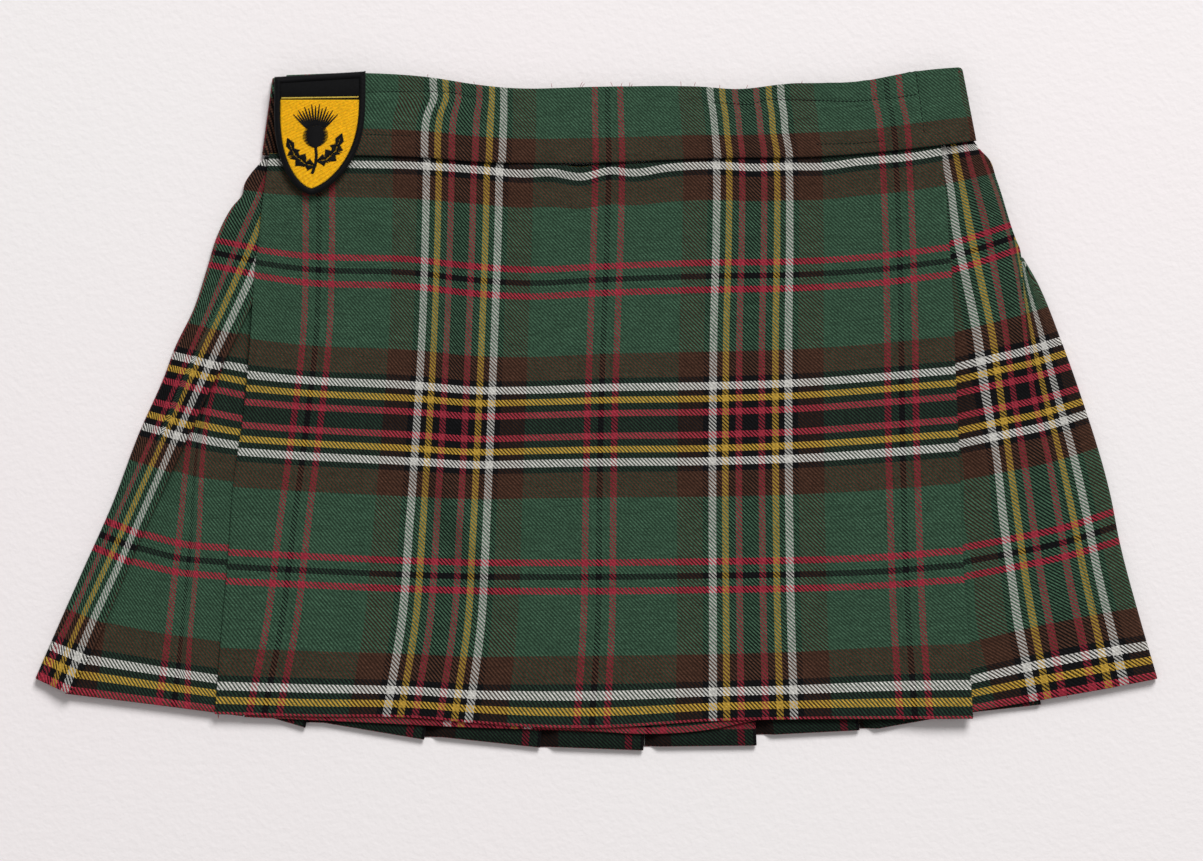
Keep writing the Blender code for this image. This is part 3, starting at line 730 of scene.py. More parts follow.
def apron_base_z(x, y):
    """Height of the outer apron: raised by the left pleat, and by its own fold on the right."""
    crease = along(APRON_RAISES, "y", "crease", y)
    lift = np.maximum(0.0, along(APRON_RAISES, "y", "lift", y))
    fold = along(APRON_EDGES, "y", "fold", y)
    left = lift * ease((crease + LIFT_RUN - x) / LIFT_RUN)
    right = LAYER * ease((x - fold + FOLD_RUN) / (FOLD_RUN * 0.6))
    gape = FOLD_GAPE * ease((x - fold + GAPE_RUN) / GAPE_RUN) * between(y, -40.0, 50.0, 116.0, 40.0)
    return FRONT_MID + np.maximum(left, right) + gape


PLACING_ROUNDS = 4       # rounds in which a row's places and its heights settle to each other


def outer_apron(material):
    """The apron from its free edge to its fold, and the cloth turned in behind the fold."""
    wefts = lerp(APRON_TOP, APRON_HEM, spaced(APRON_SIZE[1], GRID))
    shares = spaced(APRON_SIZE[0], GRID, rim_last=False)
    behind_shares = spaced(14.0, GRID, rim_first=False)
    made = []
    for weft in wefts:
        x = lerp(APRON_EDGES[6].free, APRON_EDGES[6].fold, shares)
        for _ in range(PLACING_ROUNDS):
            y = apron_weft_y(x, weft)
            free, fold = along(APRON_EDGES, "y", "free", y), along(APRON_EDGES, "y", "fold", y)
            x = lerp(free, fold - CLOTH / 2 - LAYER / 2, shares)
        z = apron_base_z(x, y) + crease_relief(APRON_CREASES, x, y) + slow_waves(x, y, 0.12)
        count = apron_warp_count(x, y)
        end_y, end_z = y[-1], z[-1]
        fold = float(along(APRON_EDGES, "y", "fold", end_y)) - CLOTH / 2
        behind = max(2.0, float(along(APRON_EDGES, "y", "behind", end_y)))
        turn_x, turn_z = half_turn(fold, end_z, end_z - LAYER, 1)
        back_x = fold - LAYER / 2 - behind * behind_shares
        back_z = np.full_like(back_x, end_z - LAYER)
        path_x = np.concatenate([x, turn_x, back_x])
        path_z = np.concatenate([z, turn_z, back_z])
        path_y = np.concatenate([y, np.full(len(turn_x) + len(back_x), end_y)])
        reach = reach_along(np.stack([path_x, path_z], axis=1))
        known = np.arange(len(path_x)) < len(x)
        padded = np.concatenate([count, np.zeros(len(path_x) - len(x))])
        made.append((path_x, path_y, path_z, carry_counts(reach, known, padded), weft))
    return cloth_shell("outer_apron_cloth", made, CLOTH, material)


def under_apron(material):
    """The flat panel under the outer apron; only its left part and its hem show."""
    wefts = lerp(SEAM_TOP, HEM, spaced(PANEL_HEIGHT, COARSE_GRID))
    shares = spaced(330.0, COARSE_GRID)
    made = []
    for weft in wefts:
        down = (SEAM_TOP - weft) / (SEAM_TOP - HEM)
        start = lerp(*UNDER_APRON_START, down)
        x = lerp(start, UNDER_APRON_END, shares)
        seam_y = along(BAND, "low_x", "low_y", x) - 0.4
        y = lerp(seam_y, along(UNDER_HEM, "x", "y", x), down)
        z = np.full_like(x, FRONT_LOW)
        u = UNDER_WHITE[0] + (x - UNDER_WHITE[1]) / UNDER_PITCH
        made.append((x, y, z, u, weft))
    return cloth_shell("under_apron_cloth", made, CLOTH, material)


def side_turn(x, z, inward):
    """Path points that carry the cloth round the kilt's side, from height z down to the surface."""
    low = CLOTH / 2 + 0.05
    rim = x + inward * CLOTH / 2
    radius = (z - low) / 2
    angle = np.linspace(0.0, math.pi, 11)[1:-1]
    turn_x = rim + inward * radius * 0.8 * (1.0 - np.sin(angle))
    turn_z = (z + low) / 2 + radius * np.cos(angle)
    end_x = np.linspace(rim + inward * radius * 0.8, x + inward * SIDE_TURN, 6)
    return np.concatenate([turn_x, end_x]), np.concatenate([turn_z, np.full(6, low)])


def table_row(table, weft):
    """The named values of a table at one weft thread."""
    levels = column(table, "weft")
    return {name: float(smooth_through(levels, column(table, name), weft))
            for name in table[0]._fields if name != "weft"}


def left_side_x(line):
    """The left outline at one weft thread; the line's own value above the outline's top."""
    if line["side_y"] >= LEFT_OUTLINE[0].y:
        return line["side_x"]
    return float(along(LEFT_OUTLINE, "y", "x", line["side_y"]))


BRIGHT_LINES = (11.5, 25.5, 39.0)   # thread counts of the red, yellow and white line beside a group's middle
RED_LINE = 13.5          # threads from the middle of a red pair to the middle of each of its lines


def left_pleats(material):
    """Out from under the apron, one tapered pleat, then round the left side."""
    wefts = lerp(SEAM_TOP, HEM, spaced(PANEL_HEIGHT, GRID))
    made = []
    for weft in wefts:
        line, warp = table_row(LEFT_LINES, weft), table_row(LEFT_WARPS, weft)
        side = left_side_x(line)
        crease = line["crease_x"]
        inner = crease - max(1.5, line["fold"])
        start = max(line["edge_x"] + UNDERLAP, crease + 6.0)
        inner_x = lerp(start, inner, spaced(70.0, GRID, rim_last=False))
        turn_a_x, turn_a_z = half_turn(inner - LAYER / 2, FRONT_LOW, FRONT_MID, -1)
        middle_x = lerp(inner, crease - LAYER / 2 - CLOTH / 2, np.linspace(0.0, 1.0, 7))
        turn_b_x, turn_b_z = half_turn(crease - CLOTH / 2, FRONT_MID, FRONT_HIGH, 1)
        round_z = FRONT_LOW + 0.4
        radius = (round_z - CLOTH / 2 - 0.05) / 2
        outer_x = lerp(crease - LAYER / 2 - CLOTH / 2, side + CLOTH / 2 + radius * 0.8,
                       spaced(26.0, GRID, False, False))
        slope = ease((outer_x - side - 3.0) / (crease - side - 5.0))
        outer_z = lerp(round_z, FRONT_HIGH, slope)
        side_x, side_z = side_turn(side, round_z, 1)
        runs_x = [inner_x, turn_a_x, middle_x, turn_b_x, outer_x, side_x]
        runs_z = [np.full_like(inner_x, FRONT_LOW), turn_a_z, np.full_like(middle_x, FRONT_MID), turn_b_z,
                  outer_z, side_z]
        x, z = np.concatenate(runs_x), np.concatenate(runs_z)
        reach = reach_along(np.stack([x, z], axis=1))
        first_outer = sum(len(run) for run in runs_x[:4])
        index = np.arange(len(x))
        from_widest = (line["crease_y"] - CREASE_GAPE_AT[0]) / CREASE_GAPE_AT[1]
        gape = CREASE_GAPE * math.exp(-from_widest ** 2)
        z = z + gape * ease((x - crease + CREASE_RUN) / CREASE_RUN) * (index >= len(inner_x))
        ridge = SOFT_RIDGE * float(between(line["soft_y"], -150.0, 60.0, 20.0, 30.0))
        flank = np.where(x < line["soft_x"], *SOFT_FLANKS)
        z = z + ridge * np.exp(-((x - line["soft_x"]) / flank) ** 2) * (index < len(inner_x))
        on_inner = (index < len(inner_x)) & (x > crease - 1.0)
        on_outer = (index >= first_outer) & (index < first_outer + len(outer_x))
        lines = [side, warp["red"], warp["yellow"], warp["white"], crease]
        line_counts = np.array([warp["side_count"], *BRIGHT_LINES, warp["crease_count"]]) - HALF_SETT
        outer_counts = counts_across(lines, line_counts, x)
        step = RED_LINE * PITCH
        inner_lines = [warp["red_out"] - step, warp["red_out"], warp["pivot"], warp["red_in"],
                       warp["red_in"] + step]
        inner_counts = counts_across(inner_lines, [RED_LINE * n for n in range(-2, 3)], x)
        u = np.where(on_outer, outer_counts, inner_counts)
        u = carry_counts(reach, on_inner | on_outer, u)
        outer_y = lerp(line["side_y"], line["crease_y"], (x - line["side_x"]) / (crease - line["side_x"]))
        inner_y = smooth_through([crease, line["soft_x"], line["edge_x"]],
                                 [line["under_y"], line["soft_y"], line["edge_y"]], x)
        blend = ease((index - len(inner_x)) / (first_outer - len(inner_x)))
        y = lerp(inner_y, outer_y, blend)
        made.append((x, y, z, u, weft))
    return cloth_shell("left_pleats_cloth", made, CLOTH, material)


FOLD_TUCK = 15.0         # how far the right pleats run in under the apron's fold
SMALL_RISE = 0.95        # height of one layer of the small pleat
SMALL_RUN = 9.0          # run in which the cloth climbs onto the small pleat
LAST_POINTS = 22         # points from the small pleat to the turn round the side


def right_pleats(material):
    """Out from under the apron's fold, one small pleat near the outline, then round the right side."""
    wefts = lerp(SEAM_TOP, HEM, spaced(PANEL_HEIGHT, GRID))
    made = []
    for weft in wefts:
        line = table_row(RIGHT_LINES, weft)
        stations = np.linspace(line["fold_x"], line["side_x"], 4)
        heights = [line["fold_y"], line["near_y"], line["far_y"], line["side_y"]]
        side_y = line["side_y"]
        outline = float(along(RIGHT_OUTLINE, "y", "x", side_y))
        edge = float(along(SMALL_PLEAT, "y", "edge", side_y))
        behind = max(0.0, float(along(SMALL_PLEAT, "y", "behind", side_y)))
        size = float(ease(behind / 3.0))
        edge = min(edge, outline)
        side = outline - 1.2 * size if edge > outline - 1.0 else outline
        start = line["fold_x"] - FOLD_TUCK
        rise = SMALL_RISE * size
        turn_inner = edge - behind
        first_x = lerp(start, edge - rise / 2, spaced(60.0, GRID, rim_last=False))
        first_z = FRONT_LOW + 2 * rise * ease((first_x - turn_inner + SMALL_RUN) / SMALL_RUN)
        swell = FOLD_SWELL * float(between(side_y, -60.0, 70.0, 112.0, 40.0))
        first_z = first_z + swell * np.exp(-((first_x - line["fold_x"] - SWELL_AT[0]) / SWELL_AT[1]) ** 2)
        turn_a_x, turn_a_z = half_turn(edge, FRONT_LOW + 2 * rise, FRONT_LOW + rise, 1)
        middle_x = np.linspace(edge - rise / 2, turn_inner + rise / 2, 5)
        turn_b_x, turn_b_z = half_turn(turn_inner, FRONT_LOW + rise, FRONT_LOW, -1)
        radius = (FRONT_LOW - CLOTH / 2 - 0.05) / 2
        last_end = max(side - CLOTH / 2 - radius * 0.8, turn_inner + 0.6)
        last_x = np.linspace(turn_inner + rise / 2, last_end, LAST_POINTS)
        side_x, side_z = side_turn(side, FRONT_LOW, -1)
        runs_x = [first_x, turn_a_x, middle_x, turn_b_x, last_x, side_x]
        runs_z = [first_z, turn_a_z, np.full_like(middle_x, FRONT_LOW + rise), turn_b_z,
                  np.full_like(last_x, FRONT_LOW), side_z]
        x, z = np.concatenate(runs_x), np.concatenate(runs_z)
        y = smooth_through(stations, heights, x)
        reach = reach_along(np.stack([x, z], axis=1))
        index = np.arange(len(x))
        first_last = sum(len(run) for run in runs_x[:4])
        on_first = (index < len(first_x)) & (x > line["fold_x"] - 1.0)
        on_last = (index >= first_last) & (index < first_last + len(last_x))
        lines = [along(RIGHT_WARPS, "y", name, y) for name in RIGHT_COUNTS]
        u = counts_across(lines, list(RIGHT_COUNTS.values()), x)
        if size > 0.0:
            on_last &= x > edge
        u = carry_counts(reach, on_first | on_last, u)
        made.append((x, y, z, u, weft))
    return cloth_shell("right_pleats_cloth", made, CLOTH, material)


def back_pleats(material):
    """Knife pleats: face, turned-in middle layer and inner layer, over and over."""
    wefts = lerp(BACK_TOP, BACK_HEM, spaced(BACK_HEIGHT, COARSE_GRID))
    made = []
    for weft in wefts:
        down = (BACK_TOP - weft) / (BACK_TOP - BACK_HEM)
        left = float(along(BACK_SIDES, "weft", "left", weft)) + SIDE_TURN + NODE_GAP
        right = float(along(BACK_SIDES, "weft", "right", weft)) - SIDE_TURN - NODE_GAP
        path_x, path_z, path_y, path_u = [], [], [], []

        def run(x, z, hem_y, u, level=down):
            seam = along(BAND, "low_x", "low_y", x) - 0.5
            path_x.append(x)
            path_z.append(z)
            path_y.append(lerp(seam, hem_y, level))
            path_u.append(u)

        start, hem_before = left, SIDE_HEM
        begin = np.linspace(left, left + 0.5, 2)
        run(begin, np.full(2, BACK_FACE), hem_before, np.array([-170.0, -169.0]))
        for number, pleat in enumerate(BACK_PLEATS):
            pivot = number * 2 * HALF_SETT
            fold = lerp(pleat.waist_x, pleat.hem_x, down)
            face_edge = start + PLEAT_SHOW
            climb_x = np.linspace(start + 1.0, face_edge, 7)
            climb_z = BACK_FACE + (BACK_INNER - BACK_FACE) * ease((climb_x - face_edge + 6.0) / 5.6)
            climb_z[0] = BACK_FACE
            inner_x = np.linspace(face_edge + 1.0, fold - LAYER / 2 - CLOTH / 2, 12)
            inner_u = pivot - (fold - inner_x) / INNER_PITCH
            width = fold - face_edge
            corner = pleat.corner_y
            run(climb_x, climb_z, hem_before, pivot - (fold - climb_x) / INNER_PITCH)
            run(inner_x, np.full(12, BACK_INNER), lerp(hem_before, corner, (inner_x - face_edge) / width),
                inner_u)
            turn_x, turn_z = half_turn(fold - CLOTH / 2, BACK_INNER, BACK_MIDDLE, 1)
            run(turn_x, turn_z, corner, np.linspace(pivot + 0.5, pivot + 3.0, len(turn_x)))
            middle_x = np.linspace(fold - LAYER / 2 - CLOTH / 2, face_edge + 1.6, 9)
            face_share = (fold - middle_x) / width
            run(middle_x, np.full(9, BACK_MIDDLE), lerp(corner, hem_before + 1.0, face_share),
                pivot + 3.0 + (fold - middle_x) / PITCH)
            turn_x, turn_z = half_turn(face_edge + 1.0, BACK_MIDDLE, BACK_FACE, -1)
            face_u = pivot + 3.0 + width / PITCH
            run(turn_x, turn_z, hem_before + 1.0, np.linspace(face_u + 0.5, face_u + 3.0, len(turn_x)))
            face_x = np.linspace(face_edge + 1.6, fold, 10)
            run(face_x, np.full(10, BACK_FACE),
                lerp(hem_before + 1.0, pleat.next_y, (face_x - face_edge) / width),
                face_u + 3.0 + (face_x - face_edge) / PITCH)
            start, hem_before = fold, pleat.next_y
        end_x = np.linspace(start + 1.0, right, 10)
        end_u = path_u[-1][-1] + (end_x - start) / PITCH
        end_y = lerp(hem_before, SIDE_HEM, (end_x - start) / (right - start))
        run(end_x, np.full_like(end_x, BACK_FACE), end_y, end_u)
        x, z, y, u = (np.concatenate(parts) for parts in (path_x, path_z, path_y, path_u))
        made.append((x, y, z, u, weft))
    return cloth_shell("back_pleats_cloth", made, CLOTH, material)


# ---- the waistband ----
def band_warp_count(x, y):
    lines = [along(BAND_WARPS, "y", name, y) for name in BAND_LINES]
    return counts_across(lines, list(BAND_LINES.values()), x)


# Puckers that the seam and the topstitching draw into the waistband: place, run up the band (0 to 1).
BAND_PUCKERS = rows("x up_from up_to width height", [
    (-112.0, 0.45, 1.0, 3.0, -0.3), (-96.0, 0.0, 0.5, 3.5, 0.25), (-88.0, 0.5, 1.0, 2.5, -0.35),
    (-74.0, 0.1, 0.7, 4.0, 0.3), (-62.0, 0.5, 1.0, 2.2, -0.4), (-55.0, 0.0, 0.5, 3.0, -0.2),
    (-38.0, 0.3, 1.0, 5.0, 0.3), (-22.0, 0.0, 0.6, 4.0, 0.25), (-12.0, 0.4, 1.0, 3.0, -0.25),
    (2.0, 0.0, 0.5, 4.0, 0.3), (18.0, 0.3, 1.0, 4.0, -0.2), (33.0, 0.0, 0.7, 4.0, 0.25),
    (48.0, 0.4, 1.0, 3.0, 0.3), (57.0, 0.3, 1.0, 2.0, -0.35), (66.0, 0.2, 0.8, 2.5, 0.3),
    (72.0, 0.0, 0.45, 1.6, -0.45), (79.0, 0.1, 0.6, 2.2, 0.35), (84.0, 0.0, 0.5, 1.5, -0.4),
    (93.0, 0.0, 0.45, 1.6, -0.45), (101.0, 0.3, 0.9, 3.0, 0.25), (112.0, 0.5, 1.0, 2.5, -0.25),
    (124.0, 0.2, 0.9, 3.5, 0.25), (141.0, 0.4, 1.0, 2.0, -0.3), (150.0, 0.2, 0.8, 2.5, 0.25),
    (163.0, 0.1, 0.95, 1.8, -0.4), (172.0, 0.1, 0.9, 3.0, 0.2),
])
# The waistband's topstitching: two rectangles, as points along each run and up the band.
STITCH_RUNS = {
    "left_top": rows("x up", [(-115.0, 0.77), (-86.0, 0.82), (-72.0, 0.85), (-60.0, 0.84)]),
    "left_low": rows("x up", [(-114.0, 0.26), (-91.0, 0.26)]),
    "right_top": rows("x up", [(57.0, 0.79), (77.0, 0.76), (84.0, 0.82), (105.0, 0.77),
                               (129.0, 0.73), (150.0, 0.70), (161.5, 0.70)]),
    "right_side": rows("x up", [(162.6, 0.98), (162.0, 0.55), (161.3, 0.17)]),
    "right_low": rows("x up", [(108.0, 0.17), (126.0, 0.15), (142.0, 0.15)]),
}


def band_place(x_low, up):
    """A place on the outer waistband by the x of its lower edge and the share up it."""
    share = (x_low - BAND[0].low_x) / (BAND[-1].low_x - BAND[0].low_x)
    shares = (column(BAND, "low_x") - BAND[0].low_x) / (BAND[-1].low_x - BAND[0].low_x)
    x = smooth_through(shares, lerp(column(BAND, "low_x"), column(BAND, "top_x"), up), share)
    y = smooth_through(shares, lerp(column(BAND, "low_y"), column(BAND, "top_y"), up), share)
    return x, y


def near_run(run, x, up):
    """How near a place on the band is to a run of stitches: 1 on it, 0 away from it."""
    nearest = np.full(np.shape(x), 1e9)
    for start, end in zip(run, run[1:]):
        dx, dy = end.x - start.x, (end.up - start.up) * BAND_HEIGHT
        px, py = x - start.x, (up - start.up) * BAND_HEIGHT
        share = np.clip((px * dx + py * dy) / (dx * dx + dy * dy), 0.0, 1.0)
        nearest = np.minimum(nearest, np.hypot(px - share * dx, py - share * dy))
    return np.exp(-(nearest / 1.1) ** 2)


def band_top_z(x_low, x, up):
    """Height of the middle of the waistband's thickness, with its puckers."""
    base = apron_base_z(x, np.full_like(x, APRON_EDGES[0].y)) + ON_APRON + BAND_CLOTH / 2 - BAND_SINK * up
    for pucker in BAND_PUCKERS:
        run = between(up, pucker.up_from - 0.15, 0.3, pucker.up_to + 0.15, 0.3)
        base = base + pucker.height * run * np.exp(-((x_low - pucker.x) / pucker.width) ** 2)
    for run in STITCH_RUNS.values():
        base = base - 0.5 * near_run(run, x_low, up)
    seam_dip = 0.45 * (1.0 - ease(up * BAND_HEIGHT / 3.0))
    wave = 0.12 * np.sin(x_low / 4.3 + 2.0 * np.sin(x_low / 19.0)) * ease((up - 0.6) / 0.4)
    return base - seam_dip + wave


BAND_GRID = (1.5, 1.3)   # spacing of its points along the band and up it
BAND_CORNER = 2.0        # radius of its corner at the top right


def outer_band(material):
    """The folded strip on the outer apron."""
    ups = spaced(BAND_HEIGHT, BAND_GRID[1], thickness=BAND_CLOTH)
    shares = spaced(348.0, BAND_GRID[0], thickness=BAND_CLOTH)
    x_low = lerp(BAND[0].low_x, BAND[-1].low_x, shares)
    made = []
    for up in ups:
        corner = BAND_CORNER * (1.0 - math.sqrt(1.0 - max(0.0, (up - 0.95) / 0.05) ** 2 * 0.999))
        row_x = lerp(BAND[0].low_x, BAND[-1].low_x - corner, shares)
        x, y = band_place(row_x, up)
        z = band_top_z(x_low, x, up)
        made.append((x, y, z, band_warp_count(x, y), lerp(BAND_LOW_WEFT, BAND_TOP_WEFT, up)))
    return cloth_shell("outer_waistband", made, BAND_CLOTH, material)


UNDER_BAND_WEFTS = (51.0, 84.0)   # thread counts at its lower and upper edge
UNDER_BAND_SIDE_WARP = 145.0      # the same across it, where it turns the left side
UNDER_BAND_Z = 3.9       # height of the middle of the under apron's waistband


GATHERED_THREADS = 3.0   # threads in each millimetre of the back's gathered waistband
RIB_HEIGHT = 0.18        # half the height of its ribs
HIDDEN_GRID = 3.0        # spacing of the points on the waistbands that don't show


def hidden_band_y(x, up, short):
    """Height at a share up the waistbands under the outer one, which they fall a little short of."""
    low, top = (np.interp(x, column(BAND, "low_x"), column(BAND, name)) for name in ("low_y", "top_y"))
    return lerp(low + 1.0, top - short, up)


def under_band(material):
    """The under apron's waistband; it turns the left side and ends free under the outer one."""
    ups = spaced(BAND_HEIGHT - 2.0, HIDDEN_GRID, thickness=BAND_CLOTH)
    made = []
    for up in ups:
        side = lerp(*BAND_SIDE, up)
        low = BAND_CLOTH / 2
        rim = side + BAND_CLOTH / 2
        radius = (UNDER_BAND_Z - low) / 2
        flat_shares = spaced(300.0, HIDDEN_GRID, rim_last=False, thickness=BAND_CLOTH)
        flat_x = lerp(UNDER_APRON_END, rim + radius, flat_shares)
        angle = np.linspace(0.0, math.pi, 11)[1:-1]
        turn_x = rim + radius * (1.0 - np.sin(angle))
        turn_z = (UNDER_BAND_Z + low) / 2 + radius * np.cos(angle)
        end_x = lerp(rim + radius, side + SIDE_TURN, spaced(5.0, 1.0, rim_first=False, thickness=BAND_CLOTH))
        x = np.concatenate([flat_x, turn_x, end_x])
        z = np.concatenate([np.full_like(flat_x, UNDER_BAND_Z), turn_z, np.full_like(end_x, low)])
        y = hidden_band_y(x, up, 1.0)
        reach = reach_along(np.stack([x, z], axis=1))
        from_side = (UNDER_APRON_END - side - reach) / PITCH
        made.append((x, y, z, UNDER_BAND_SIDE_WARP + from_side, lerp(*UNDER_BAND_WEFTS, up)))
    return cloth_shell("under_waistband", made, BAND_CLOTH, material)


def back_band(material):
    """The back's waistband, gathered in even ribs over its elastic."""
    ups = spaced(BAND_HEIGHT - 3.0, HIDDEN_GRID, thickness=BAND_CLOTH)
    made = []
    for up in ups:
        left = lerp(*BAND_SIDE, up) + SIDE_TURN + NODE_GAP
        right = lerp(BAND[-1].low_x, BAND[-1].top_x, up) - SIDE_TURN - NODE_GAP
        x = lerp(left, right, spaced(330.0, 1.0, thickness=BAND_CLOTH))
        ribs = RIB_HEIGHT * np.sin(x * 1.05 + 0.6 * np.sin(x / 21.0))
        z = BAND_CLOTH / 2 + RIB_HEIGHT + 0.02 + ribs
        made.append((x, hidden_band_y(x, up, 1.5), z, x * GATHERED_THREADS,
                     lerp(BAND_LOW_WEFT, BAND_TOP_WEFT, up)))
    return cloth_shell("back_waistband", made, BAND_CLOTH, material)


# ---- the badge ----
def shield_outline(inset=0.0, steps=48):
    """The shield's outline clockwise from its top left corner, moved in by a distance."""
    downs = np.sin(np.pi / 2 * np.linspace(0.0, 1.0, steps + 1))
    turn = np.maximum(0.0, (downs - SHIELD_STRAIGHT) / (1.0 - SHIELD_STRAIGHT))
    half = BADGE_W / 2 * (1.0 - np.minimum(turn, 1.0) ** 2.4) ** 0.65

    def side_points(side):
        x = BADGE_AT[0] + side * half - SHIELD_LEAN * downs ** 3
        y = BADGE_AT[1] - BADGE_H * downs + side * SHIELD_TILT / 2 * (1.0 - downs)
        return np.stack([x, y], axis=1)

    points = np.concatenate([side_points(1), side_points(-1)[-2::-1]])
    before, after = np.roll(points, 1, axis=0), np.roll(points, -1, axis=0)
    first = (points - before) / np.linalg.norm(points - before, axis=1, keepdims=True)
    second = (after - points) / np.linalg.norm(after - points, axis=1, keepdims=True)
    inward = np.stack([(first + second)[:, 1], -(first + second)[:, 0]], axis=1)
    inward /= 1.0 + np.sum(first * second, axis=1, keepdims=True)
    return points + inset * inward


def badge_base_z(y):
    """The badge rests on the waistband and on the apron below it."""
    low_z = FRONT_MID_CAD + 2 * LAYER + ON_APRON + BAND_CLOTH + NODE_GAP
    above_seam = (y - BAND[0].low_y) / (BAND[0].top_y - BAND[0].low_y)
    return low_z - BAND_SINK * np.maximum(-0.4, above_seam)


def plate(name, outline, low, high, material, edge=0.35):
    """A plate with the given outline on the badge's base, its top edge rounded off."""
    middle = outline.mean(axis=0)
    rings = [(0.0, low), (0.0, high - edge), (edge * 0.35, high - edge * 0.3), (edge, high)]
    places, faces = [], []
    count = len(outline)
    for inset, rise in rings:
        away = outline - middle
        ring = middle + away * (1.0 - inset / np.linalg.norm(away, axis=1, keepdims=True))
        places += [(x * MM, y * MM, (badge_base_z(y) + rise) * MM) for x, y in ring]
    for level in range(len(rings) - 1):
        for index in range(count):
            after = (index + 1) % count
            faces.append((level * count + index, level * count + after, (level + 1) * count + after,
                          (level + 1) * count + index))
    faces += [tuple(range(count)), tuple(range((len(rings) - 1) * count, len(rings) * count))]
    return finish_mesh(name, new_mesh(name, places, [], faces), material)


def border_ring(name, material):
    """The raised cord inside the badge's border."""
    outer, inner = shield_outline(0.25), shield_outline(BADGE_EDGE - 0.1)
    sides = 10
    count = len(outer)
    places, faces = [], []
    for start, end in zip(outer, inner):
        for side in range(sides):
            angle = 2 * math.pi * side / sides
            share = 0.5 - 0.5 * math.cos(angle)
            x, y = start + (end - start) * share
            rise = 0.6 + 0.85 * math.sin(angle) * (1.0 if math.sin(angle) > 0 else 0.65)
            places.append((x * MM, y * MM, (badge_base_z(y) + rise) * MM))
    for index in range(count):
        after = (index + 1) % count
        for side in range(sides):
            near = (side + 1) % sides
            faces.append((index * sides + side, after * sides + side, after * sides + near,
                          index * sides + near))
    return finish_mesh(name, new_mesh(name, places, [], faces), material)


# ---- stitches ----
def thread_tree():
    """Geometry nodes that turn each edge of a mesh into one thread that arches over the cloth."""
    tree = bpy.data.node_groups.new("arched_threads", "GeometryNodeTree")
    for name, kind in (("Stitches", "Geometry"), ("Radius", "Float"), ("Rise", "Float"), ("Steps", "Int"),
                       ("Sides", "Int"), ("Thread", "Material")):
        tree.interface.new_socket(name, in_out="INPUT", socket_type=f"NodeSocket{kind}")
    tree.interface.new_socket("Threads", in_out="OUTPUT", socket_type="NodeSocketGeometry")
    given = tree.nodes.new("NodeGroupInput").outputs
    result = tree.nodes.new("NodeGroupOutput")

    def node(kind, links=(), **settings):
        """A node with its settings; its inputs by name are linked to sockets or set to values."""
        made = tree.nodes.new(kind)
        for name, value in settings.items():
            setattr(made, name, value)
        for name, source in dict(links).items():
            if isinstance(source, bpy.types.NodeSocket):
                tree.links.new(source, made.inputs[name])
            else:
                made.inputs[name].default_value = source
        return made

    curves = node("GeometryNodeMeshToCurve", {"Mesh": given["Stitches"]})
    fine = node("GeometryNodeResampleCurve", {"Curve": curves.outputs[0], "Count": given["Steps"]})
    along_thread = node("GeometryNodeSplineParameter").outputs["Factor"]
    rest = node("ShaderNodeMath", {0: 1.0, 1: along_thread}, operation="SUBTRACT").outputs[0]
    hump = node("ShaderNodeMath", {0: along_thread, 1: rest}, operation="MULTIPLY").outputs[0]
    arch = node("ShaderNodeMath", {0: hump, 1: 4.0}, operation="MULTIPLY").outputs[0]
    lift = node("ShaderNodeMath", {0: arch, 1: given["Rise"]}, operation="MULTIPLY").outputs[0]
    offset = node("ShaderNodeCombineXYZ", {"Z": lift}).outputs[0]
    arched = node("GeometryNodeSetPosition", {"Geometry": fine.outputs[0], "Offset": offset})
    narrow = node("ShaderNodeMath", {0: arch, 1: 0.35}, operation="POWER").outputs[0]
    width = node("ShaderNodeMath", {0: narrow, 1: 0.3}, operation="MAXIMUM").outputs[0]
    shaped = node("GeometryNodeSetCurveRadius", {"Curve": arched.outputs[0], "Radius": width})
    ring = node("GeometryNodeCurvePrimitiveCircle",
                {"Resolution": given["Sides"], "Radius": given["Radius"]})
    tubes = node("GeometryNodeCurveToMesh", {"Curve": shaped.outputs[0], "Profile Curve": ring.outputs[0],
                                             "Fill Caps": True})
    if "Scale" in tubes.inputs:
        radius = node("GeometryNodeInputRadius").outputs[0]
        tree.links.new(radius, tubes.inputs["Scale"])
    real = node("GeometryNodeRealizeInstances", {"Geometry": tubes.outputs[0]})
    dyed = node("GeometryNodeSetMaterial", {"Geometry": real.outputs[0], "Material": given["Thread"]})
    tree.links.new(dyed.outputs[0], result.inputs[0])
    return tree


THREADS = thread_tree()


def threads(name, stitches, radius, rise, material, steps=6, sides=6):
    """One piece of many stitches; each is a start and an end point in millimetres."""
    ends = np.array(stitches, float).reshape(-1, 3) * MM
    pairs = [(i, i + 1) for i in range(0, len(ends), 2)]
    start = place_object(name, new_mesh(name, ends.tolist(), pairs, []))
    modifier = start.modifiers.new("threads", "NODES")
    values = {"Radius": radius * MM, "Rise": rise * MM, "Steps": steps, "Sides": sides, "Thread": material}
    modifier.node_group = THREADS
    for item in THREADS.interface.items_tree:
        if item.in_out == "INPUT" and item.name in values:
            modifier[item.identifier] = values[item.name]
    seen = bpy.context.evaluated_depsgraph_get()
    made_mesh = bpy.data.meshes.new_from_object(start.evaluated_get(seen))
    made_mesh.name = name
    bpy.data.objects.remove(start)
    return finish_mesh(name, made_mesh, material)


def even_steps(points, pitch):
    """Points an even pitch apart along a line, and the direction of the line at each."""
    points = np.asarray(points, float)
    reach = reach_along(points)
    at = np.linspace(0.0, reach[-1], max(2, int(round(reach[-1] / pitch)) + 1))
    placed = np.stack([np.interp(at, reach, points[:, axis]) for axis in range(points.shape[1])], axis=1)
    direction = np.gradient(placed, axis=0)
    return placed, direction / np.linalg.norm(direction, axis=1, keepdims=True)


